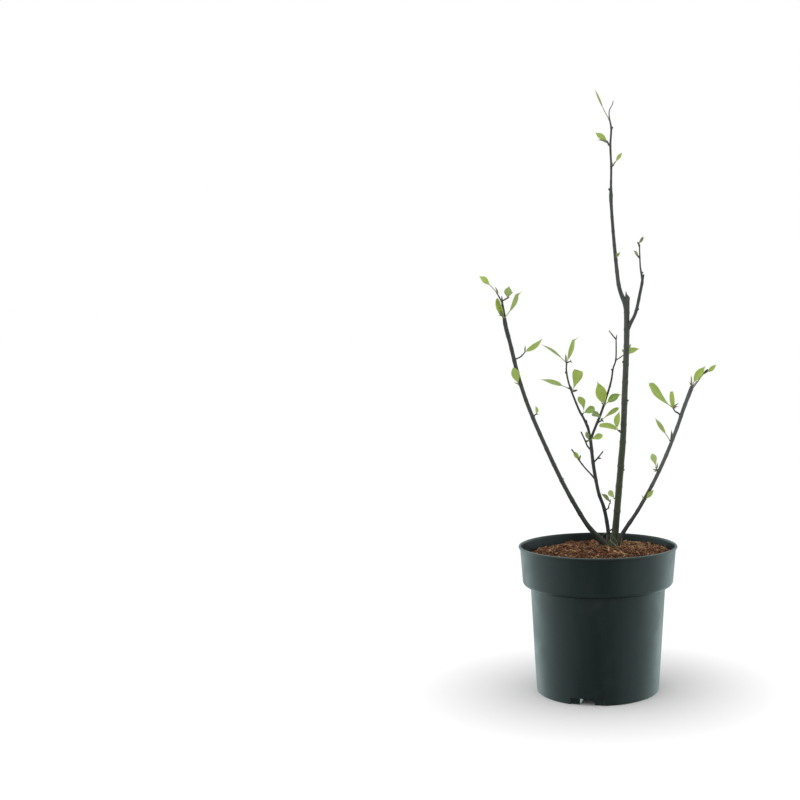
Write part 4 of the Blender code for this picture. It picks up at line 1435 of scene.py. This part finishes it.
@dataclass
class Crown:
    """The lumpy foot where the stems meet, with its knees and its fine rootlets."""

    middle: Vector = field(default_factory=lambda: Vector((16.0, 14.0, 149.0)))
    voxel: float = 0.00042
    knees: tuple[str, ...] = ("bough_left", "bough_centre", "bough_right")
    knee_length: float = 0.45
    knee_swelling: Step = (2.6, 1.7, 0.5)
    lumps: tuple[tuple[float, float, float, float], ...] = (
        (8.6, 9.8, 150.2, 4.0), (12.5, 9.0, 150.0, 3.0), (16.5, 8.6, 150.4, 2.8), (20.2, 10.8, 150.2, 3.2),
        (13.0, 17.0, 151.0, 4.2), (17.0, 14.0, 152.0, 5.8), (10.5, 13.0, 151.5, 3.8), (21.5, 15.0, 150.2, 3.0),
    )
    rootlets: tuple[tuple[Bend, ...], ...] = (
        ((12.6, 8.0, 157.0, 0.9), (15.0, 7.0, 154.5, 1.0), (17.5, 6.2, 152.4, 1.1), (19.5, 5.0, 150.4, 1.2)),
        ((4.0, 7.0, 153.2, 0.8), (3.0, 3.5, 151.0, 0.9), (-1.0, 1.0, 149.2, 0.8), (-6.0, 0.5, 148.6, 0.5)),
        ((14.6, 8.4, 163.0, 0.3), (16.2, 7.6, 160.0, 0.4), (19.4, 6.4, 156.8, 0.4), (20.8, 5.6, 152.8, 0.4),
         (21.6, 4.2, 149.0, 0.4)),
        ((26.6, 8.0, 160.5, 0.3), (25.0, 6.4, 156.0, 0.4), (24.2, 4.6, 151.5, 0.4), (22.6, 2.6, 148.6, 0.4)),
        ((3.0, 6.0, 158.2, 0.3), (6.0, 5.0, 156.8, 0.4), (9.8, 5.0, 153.4, 0.4), (11.0, 2.6, 148.8, 0.4)),
        ((9.0, 13.0, 163.0, 0.4), (6.2, 14.0, 161.8, 0.4), (5.0, 13.0, 158.8, 0.4), (7.4, 11.0, 155.4, 0.4)),
    )

    def knee(self, limb: Limb) -> bpy.types.Object:
        """A tapering arm from the crown's middle to a little way up a bough.

        Args:
            limb: the bough.

        Returns:
            The arm.
        """
        first, second = (Vector(bend) for bend in limb.bends[:2])
        end = first.lerp(second, self.knee_length)
        middle = Vector((*self.middle, first.w))
        rows = []
        for spot, more in zip((middle, first, end), self.knee_swelling):
            rows.append(Vector((*spot.xyz, spot.w + more)))
        pile = MeshPile()
        pile.add(*stem(Course(rows), 20, Relief(flare=0.0)))
        return pile.piece("knee", [])

    def build(self) -> bpy.types.Object:
        """Melt spheres and knees into one burl, then roughen it.

        Returns:
            The burl.
        """
        parts = [self.knee(limb) for limb in LIMBS if limb.name in self.knees]
        for x, y, z, radius in self.lumps:
            select_none()
            bpy.ops.mesh.primitive_uv_sphere_add(segments=24, ring_count=14, radius=radius * MM,
                                                 location=(x * MM, y * MM, z * MM))
            bpy.ops.object.transform_apply(location=True, rotation=True, scale=True)
            parts.append(bpy.context.object)
        select_none()
        for part in parts:
            part.select_set(True)
        bpy.context.view_layer.objects.active = parts[0]
        bpy.ops.object.join()
        item = bpy.context.object
        item.name = "crown_burl"
        melt = item.modifiers.new("Melt", "REMESH")
        melt.mode = "VOXEL"
        melt.voxel_size = self.voxel
        soften = item.modifiers.new("Soften", "SMOOTH")
        soften.factor = 0.6
        soften.iterations = 9
        apply_modifiers(item)
        for vert in item.data.vertices:
            spot = vert.co / MM
            bump = 0.62 * noise.fractal(spot * 0.30, 0.8, 2.1, 3) + 0.20 * noise.noise(spot * 1.5)
            vert.co += vert.normal * bump * MM
        item.data.shade_smooth()
        dress(item, [OLIVE_BARK.material("crown_bark")])
        return item

    def roots(self) -> bpy.types.Object:
        """The fine rootlets on the crown.

        Returns:
            The rootlets as one object.
        """
        pile = MeshPile()
        for bends in self.rootlets:
            bare = Relief(ridge=0.03, wart=0.0, scar=0.0, swelling=0.0, flare=0.0)
            pile.add(*stem(Course(bends), 10, bare, pitch=0.6))
        return pile.piece("crown_rootlets", [ROOT_SKIN.material("rootlet_skin")])


@dataclass
class Woodwork:
    """The trunk, boughs, forks and shoots, each with its stubs and its bark's relief."""

    limbs: tuple[Limb, ...] = LIMBS
    stubs: tuple[Stub, ...] = STUBS
    ridge: float = 0.016
    wart: float = 0.018
    scar: float = 0.020
    stub_taper: float = 0.25
    stub_sides: int = 14
    crease: float = 75

    def build_limb(self, limb: Limb, seed: float) -> bpy.types.Object:
        """One limb with its stubs.

        Args:
            limb: the limb.
            seed: a number that shifts its relief.

        Returns:
            The limb's object.
        """
        course = limb.course()
        nodes = [course.distance_at_height(height) for height in limb.nodes]
        size = course.at(course.length / 2).w
        relief = Relief(ridge=self.ridge * size, wart=self.wart * size, scar=self.scar * size, seed=seed)
        pile = MeshPile()
        pile.add(*stem(course, limb.sides, relief, nodes))
        for stub in self.stubs:
            if stub.limb == limb.name:
                start = course.at(course.distance_at_height(stub.height)).xyz
                way = heading(stub.bearing, stub.rise)
                bends = []
                for t in (0, 0.5, 1):
                    spot = start + way * stub.length * t
                    bends.append(Vector((*spot, stub.diameter * (1 - self.stub_taper * t))))
                small = Relief(ridge=0.05, wart=0.04, scar=0.04, swelling=0.12, flare=0.5, seed=seed + 3)
                pile.add(*stem(Course(bends), self.stub_sides, small, (stub.length * 0.7,), 0.4, 0.75))
        return pile.piece(f"{limb.name}_bark", [limb.bark.value.material(f"{limb.name}_skin")], self.crease)

    def build(self) -> list[tuple[bpy.types.Object, Limb]]:
        """All the limbs, each with the node it stands for."""
        return [(self.build_limb(limb, 11.0 * k + 1), limb) for k, limb in enumerate(self.limbs)]


@dataclass
class Foliage:
    """The sprays: twigs, petioled leaves with ribs and side veins, buds, scales and stipules."""

    plain_stalk: float = 0.12
    petiole_radius: float = 0.46
    tail_half: float = 0.5
    stations: int = 38
    veins: float = 7.0
    slant: float = 0.22
    quilt: float = 0.022
    groove: float = 0.10
    rib: float = 0.32
    edge: float = 0.05
    thickness: float = 0.14
    sunk: float = 0.6
    face_rise: float = 25.0
    rib_half: float = 0.1
    rib_end: float = 0.93
    open_share: float = 0.10
    least_half: float = 0.12
    ripple: tuple[float, float] = (0.05, 2.3)
    twig_sides: int = 14
    twig_taper: float = 0.2
    twig_joint: float = 0.55
    last_joint: float = 0.95
    shoot_sides: int = 12
    shoot_taper: float = 0.35
    bud_sides: int = 14
    bud_stations: int = 14
    plain_forms: tuple[Form, ...] = (Form.STRAP, Form.NARROW, Form.SLIM)
    columns: tuple[float, ...] = (-1, -0.86, -0.68, -0.48, -0.26, -0.07, 0.07, 0.26, 0.48, 0.68, 0.86, 1)
    tones: tuple[Tone, ...] = tuple(Tone)

    def section(self, blade: Blade, t: float, half: float, size: float) -> list[tuple[float, float]]:
        """The blade's closed section at a station, as places across it and along its normal.

        Args:
            blade: the leaf's form.
            t: the share of the way along the leaf.
            half: half the blade's width there, in millimetres.
            size: the leaf's length, in millimetres.

        Returns:
            Points over the upper side from edge to edge and back under the lower side.
        """
        spread = half / math.sqrt(1 + blade.fold**2)
        deep, waves = self.ripple
        upper, lower = [], []
        for u in self.columns:
            lift = blade.fold * spread * (math.sqrt(u * u + 0.01) - 0.1)
            phase = self.veins * (t - self.slant * abs(u) * blade.width * 2.2)
            puff = abs(math.sin(math.pi * phase)) ** 0.6 * self.quilt * half * 4 * abs(u) * (1 - abs(u))
            wave = deep * half * u * u * math.sin(2 * math.pi * (waves * t + 0.25 * (u > 0)) + size)
            skin_half = self.edge + (self.thickness - self.edge) * (1 - u * u)
            sunk, keel = (self.groove, self.rib * (1 - 0.8 * t)) if abs(u) < self.rib_half else (0.0, 0.0)
            upper.append((u * spread, lift + puff + wave + skin_half - sunk))
            lower.append((u * spread, lift + puff + wave - skin_half - keel))
        return upper + lower[::-1]

    def blade(self, leaf: Leaf, foot: Vector) -> tuple[list[Vector], list[Face], list[int]]:
        """A leaf: a round stalk that opens into a veined blade.

        Args:
            leaf: the leaf.
            foot: the point on its twig that it grows from.

        Returns:
            The points, the faces and each face's material number.
        """
        form = leaf.form.value
        chord = heading(leaf.bearing, leaf.rise)
        base = foot - chord * self.sunk
        face = heading(leaf.faces, self.face_rise)
        normal = (face - chord * face.dot(chord)).normalized()
        side = chord.cross(normal)
        upward = (UP - chord * chord.z).normalized()
        count = 2 * len(self.columns)
        size = leaf.length * (1 - leaf.stalk) / (1 - self.plain_stalk)
        tail_start = 0.96 - form.tail
        slope = math.tan(math.radians(leaf.hook))
        rings = []
        for k in range(self.stations + 1):
            t = k / self.stations
            arch = 4 * t * (1 - t) * leaf.length
            bowed = upward * leaf.bow + normal * form.cup + side * leaf.sway
            middle = base + chord * t * leaf.length + bowed * arch
            middle += side * slope * max(0.0, t - tail_start) * leaf.length
            opened = max(0.0, (t - leaf.stalk) / (1 - leaf.stalk))
            thin = self.tail_half * (1 - smooth_step(1 - form.tail, 1.0, opened)) if form.tail else 0.0
            half = max(self.least_half, thin, size * form.half(opened))
            turn = Matrix.Rotation(math.radians(leaf.twist) * smooth_step(leaf.stalk, 1.0, t), 3, chord)
            across, out = turn @ side, turn @ normal
            flat = smooth_step(leaf.stalk, leaf.stalk + self.open_share, t)
            radius = self.petiole_radius
            if leaf.stalk == 0:
                radius *= 1.25 - 1.2 * min(1.0, t / 0.3)
            ring = []
            for q, (wide, high) in enumerate(self.section(form, t, half, leaf.length)):
                angle = math.pi - 2 * math.pi * (q + 0.5) / count
                round_wide, round_high = radius * math.cos(angle), radius * math.sin(angle)
                x = round_wide + (wide - round_wide) * flat
                y = round_high + (high - round_high) * flat
                ring.append(middle + across * x + out * y)
            rings.append(ring)
        points, faces = skin(rings)
        upper, under = self.tones.index(leaf.tone), self.tones.index(self.underside(leaf.tone))
        rib = upper if leaf.form in self.plain_forms else self.tones.index(Tone.RIB)
        last, middle_strip = len(self.columns) - 1, len(self.columns) // 2 - 1
        slots = []
        for k in range(len(faces)):
            strip, station = k % count, k // count / self.stations
            if station < leaf.stalk:
                slots.append(self.tones.index(Tone.STALK))
            elif strip in (middle_strip, middle_strip + len(self.columns)) and station < self.rib_end:
                slots.append(rib)
            else:
                slots.append(upper if strip <= last else under)
        return points, faces, slots

    @staticmethod
    def underside(tone: Tone) -> Tone:
        """The paler tone of a leaf's lower side."""
        return {Tone.LIME: Tone.FRESH, Tone.FRESH: Tone.SOFT, Tone.DEEP: Tone.COOL}.get(tone, tone)

    def bud(self, bud: Bud, foot: Vector) -> tuple[list[Vector], list[Face], int]:
        """A pointed bud wrapped in overlapping scales.

        Args:
            bud: the bud.
            foot: the point on its twig that it grows from.

        Returns:
            The points, the faces and the material number.
        """
        way = heading(bud.bearing, bud.rise)
        side = way.orthogonal().normalized()
        other = way.cross(side)
        rings = []
        for k in range(self.bud_stations + 1):
            t = k / self.bud_stations
            plump = math.sin(math.pi * (0.22 + 0.76 * t) ** 1.15) ** 0.8
            ring = []
            for q in range(self.bud_sides):
                turn = 2 * math.pi * q / self.bud_sides
                wrap = (2.2 * t + turn / (2 * math.pi)) % 1.0
                radius = bud.diameter / 2 * max(0.05, plump) * (1.06 - 0.16 * wrap)
                out = side * math.cos(turn) + other * math.sin(turn)
                ring.append(foot + way * bud.length * t + out * radius)
            rings.append(ring)
        return *skin(rings), self.tones.index(bud.tone)

    def add_spray(self, spray: Spray, limb: Limb, piles: dict[str, MeshPile], seed: float) -> None:
        """Grow one spray into the piles of its group.

        Args:
            spray: the spray.
            limb: the limb that bears it.
            piles: the group's twigs, leaves and scales.
            seed: a number that shifts its bark's relief.
        """
        course = limb.course()
        start = course.at(course.distance_at_height(spray.height)).xyz
        twig = stepped(start, spray.steps, spray.diameter, self.twig_taper)
        joints = sorted({part.along for part in (*spray.leaves, *spray.buds)} | {self.twig_joint})
        nodes = [joint * twig.length for joint in joints if joint < self.last_joint]
        relief = Relief(ridge=0.05, wart=0.05, scar=0.06, swelling=0.16, flare=0.45, seed=seed)
        piles["twigs"].add(*stem(twig, self.twig_sides, relief, nodes, 0.5, 0.7))
        for shoot in spray.shoots:
            foot = twig.at(shoot.along * twig.length).xyz
            side = stepped(foot, shoot.steps, shoot.diameter, self.shoot_taper)
            relief = Relief(ridge=0.04, wart=0.03, scar=0.05, swelling=0.14, flare=0.3, seed=seed)
            piles["twigs"].add(*stem(side, self.shoot_sides, relief, (2.5,), 0.5))
        for kind, make, parts in (("leaves", self.blade, spray.leaves), ("scales", self.blade, spray.scales),
                                  ("scales", self.bud, spray.buds)):
            for part in parts:
                piles[kind].add(*make(part, twig.at(part.along * twig.length).xyz))

    def build(self) -> list[tuple[bpy.types.Object, str, list[str]]]:
        """All the sprays in groups by the limb that bears them.

        Returns:
            Each piece with its slot and the nodes it stands for.
        """
        groups = {"leader": ("leader", "side_shoot"), "left": ("bough_left",), "trunk": ("trunk",),
                  "centre": ("bough_centre", "fork_left", "fork_right"), "right": ("bough_right",)}
        limbs = {limb.name: limb for limb in LIMBS}
        skins = [tone.value.material(f"blade_{tone.name.lower()}") for tone in self.tones]
        bark = TWIG_BARK.material("twig_skin")
        made = []
        for group, names in groups.items():
            sprays = [spray for spray in SPRAYS if spray.limb in names]
            piles = {kind: MeshPile() for kind in ("twigs", "leaves", "scales")}
            for k, spray in enumerate(sprays):
                self.add_spray(spray, limbs[spray.limb], piles, 5.0 * k + 2)
            nodes = [spray.name for spray in sprays]
            leafy = [spray.name for spray in sprays if spray.leaves]
            for kind, looks, crease, slot, stands_for in (
                    ("twigs", [bark], 75, "twig_bark", nodes), ("leaves", skins, 50, "foliage", leafy),
                    ("scales", skins, 50, "foliage", [])):
                made.append((piles[kind].piece(f"{kind}_{group}", looks, crease), slot, stands_for))
        return made


@dataclass
class Studio:
    """A pale floor with a painted contact shadow round the pot, a wide soft sky of light and the camera."""

    floor_radius: float = 1.6
    # painted contact shadow: the floor's tone near the pot, paling to its far tone over a span of distances in
    # metres
    shadow_tone: float = 0.745
    far_tone: float = 0.93
    shadow_span: tuple[float, float] = (0.070, 0.190)
    glow: float = 1.0
    side_glow: float = 0.5
    mirror_tint: Colour = (0.79, 1.0, 0.985)
    underside: tuple[float, float, float] = (-0.85, -0.45, 0.22)
    lens: float = 50.4
    top_light: Step = (-0.5, -0.6, 1.7)
    top_aim: Step = (0.0, 0.0, 0.3)
    top_size: float = 1.1
    top_energy: float = 3.0
    eye: tuple[float, float, float] = (0.0, -1.2, 0.3534)
    picture: float = 800.0
    middle: tuple[float, float] = (598.0, 357.6)
    reflections: tuple[tuple[float, float], ...] = (
        (0.00, 0.15), (0.08, 1.38), (0.18, 1.75), (0.38, 1.45), (0.55, 1.14), (0.70, 0.90), (0.82, 0.60),
        (0.91, 0.32), (1.00, 0.08),
    )

    def floor(self) -> None:
        """A round pale floor that the pot's plastic doesn't mirror, with a painted shadow: darker near the pot,
        paling to its own tone further out.
        """
        select_none()
        bpy.ops.mesh.primitive_circle_add(vertices=96, radius=self.floor_radius, fill_type="NGON")
        item = bpy.context.object
        item.name = "studio_floor"
        item.visible_glossy = False
        recipe = Recipe("studio_paper_painted_shadow")
        # painted shadow: the floor's colour is darkened near the pot to deepen its contact shadow
        near, far = (self.shadow_tone,) * 3, (self.far_tone,) * 3
        recipe.colour(recipe.mixed(recipe.remapped(recipe.distance(), self.shadow_span, (0, 1)), near, far))
        recipe.shader.inputs["Roughness"].default_value = 0.9
        recipe.shader.inputs["Specular IOR Level"].default_value = 0.0
        dress(item, [recipe.material])

    def sky(self) -> None:
        """Even white light, with a darker front and back in what glossy surfaces mirror."""
        world = bpy.data.worlds.new("studio")
        bpy.context.scene.world = world
        world.use_nodes = True
        tree = world.node_tree
        path = add_node(tree, "ShaderNodeLightPath").outputs
        ways = add_node(tree, "ShaderNodeTexCoord").outputs["Generated"]
        parts = add_node(tree, "ShaderNodeSeparateXYZ", {"Vector": ways}).outputs
        span = add_node(tree, "ShaderNodeMapRange", {"Value": parts["Y"], "From Min": 1.0, "From Max": -1.0})
        ramp = self.reflection_curve(tree, span.outputs["Result"])
        low, high, dimmed = self.underside
        fall = add_node(tree, "ShaderNodeMapRange",
                        {"Value": parts["Z"], "From Min": low, "From Max": high, "To Min": dimmed})
        glossy = add_node(tree, "ShaderNodeMath", {0: ramp.outputs["Value"], 1: fall.outputs["Result"]},
                          operation="MULTIPLY")
        sideways = add_node(tree, "ShaderNodeMath", {0: parts["X"], 1: parts["X"]}, operation="MULTIPLY")
        wide = add_node(tree, "ShaderNodeMath", {0: sideways.outputs["Value"], 1: self.side_glow, 2: self.glow},
                        operation="MULTIPLY_ADD")
        shares = {"Factor": path["Is Glossy Ray"], "A": wide.outputs["Value"], "B": glossy.outputs["Value"]}
        mirrored = add_node(tree, "ShaderNodeMix", shares)
        shares = {"Factor": path["Is Camera Ray"], "A": mirrored.outputs["Result"], "B": 1.0}
        seen = add_node(tree, "ShaderNodeMix", shares)
        white, tinted = COLOUR_ENDS
        tint = add_node(tree, "ShaderNodeMix", {"Factor": path["Is Glossy Ray"], white: (1, 1, 1, 1),
                                                tinted: (*self.mirror_tint, 1)}, data_type="RGBA")
        backing = tree.nodes["Background"]
        tree.links.new(seen.outputs["Result"], backing.inputs["Strength"])
        tree.links.new(tint.outputs[COLOUR_RESULT], backing.inputs["Color"])

    def reflection_curve(self, tree: bpy.types.NodeTree, front: bpy.types.NodeSocket) -> bpy.types.Node:
        """How bright the sky is in reflections, from its back at 0 to its front at 1.

        Args:
            tree: the sky's node tree.
            front: the share of the way to the front.

        Returns:
            The curve's node.
        """
        ramp = add_node(tree, "ShaderNodeFloatCurve", {"Value": front})
        curve = ramp.mapping.curves[0]
        ramp.mapping.clip_max_y = 2.5
        for place, strength in self.reflections[1:-1]:
            curve.points.new(place, strength)
        curve.points[0].location = self.reflections[0]
        curve.points[-1].location = self.reflections[-1]
        ramp.mapping.update()
        return ramp

    def lamp(self) -> None:
        """One large soft lamp from above, aimed at the plant."""
        select_none()
        bpy.ops.object.light_add(type="AREA", location=self.top_light)
        item = bpy.context.object
        item.name = "soft_top"
        item.data.size = self.top_size
        item.data.energy = self.top_energy
        way = Vector(self.top_aim) - Vector(self.top_light)
        item.rotation_euler = way.to_track_quat("-Z", "Y").to_euler()

    def camera(self) -> None:
        """The level camera, shifted so that the plant stands where the photograph has it."""
        select_none()
        bpy.ops.object.camera_add(location=self.eye, rotation=(math.pi / 2, 0, 0))
        item = bpy.context.object
        item.data.lens = self.lens
        item.data.shift_x = -(self.middle[0] - self.picture / 2) / self.picture
        item.data.shift_y = -(self.picture / 2 - self.middle[1]) / self.picture
        item.data.clip_start = 0.05
        bpy.context.scene.camera = item

    def build(self) -> None:
        """Set up floor, light and camera."""
        self.camera()
        self.floor()
        self.sky()
        self.lamp()
        bpy.context.scene.view_settings.view_transform = "Standard"


def main() -> None:
    """Build the studio, the pot, the peat and the plant, and report each piece."""
    logging.basicConfig(level=logging.INFO, format="%(name)s: %(message)s")
    Studio().build()
    enter(Pot().build(), "pot", ("pot",))
    for k, item in enumerate(PeatBed().build()):
        enter(item, "peat", ("soil",) if k == 0 else ())
    crown = Crown()
    enter(crown.build(), "trunk_bark", ())
    enter(crown.roots(), "bough_bark", ())
    for item, limb in Woodwork().build():
        enter(item, "trunk_bark" if limb.name == "trunk" else "bough_bark", (limb.name,))
    for item, slot, nodes in Foliage().build():
        enter(item, slot, nodes)


if __name__ == "__main__":
    main()
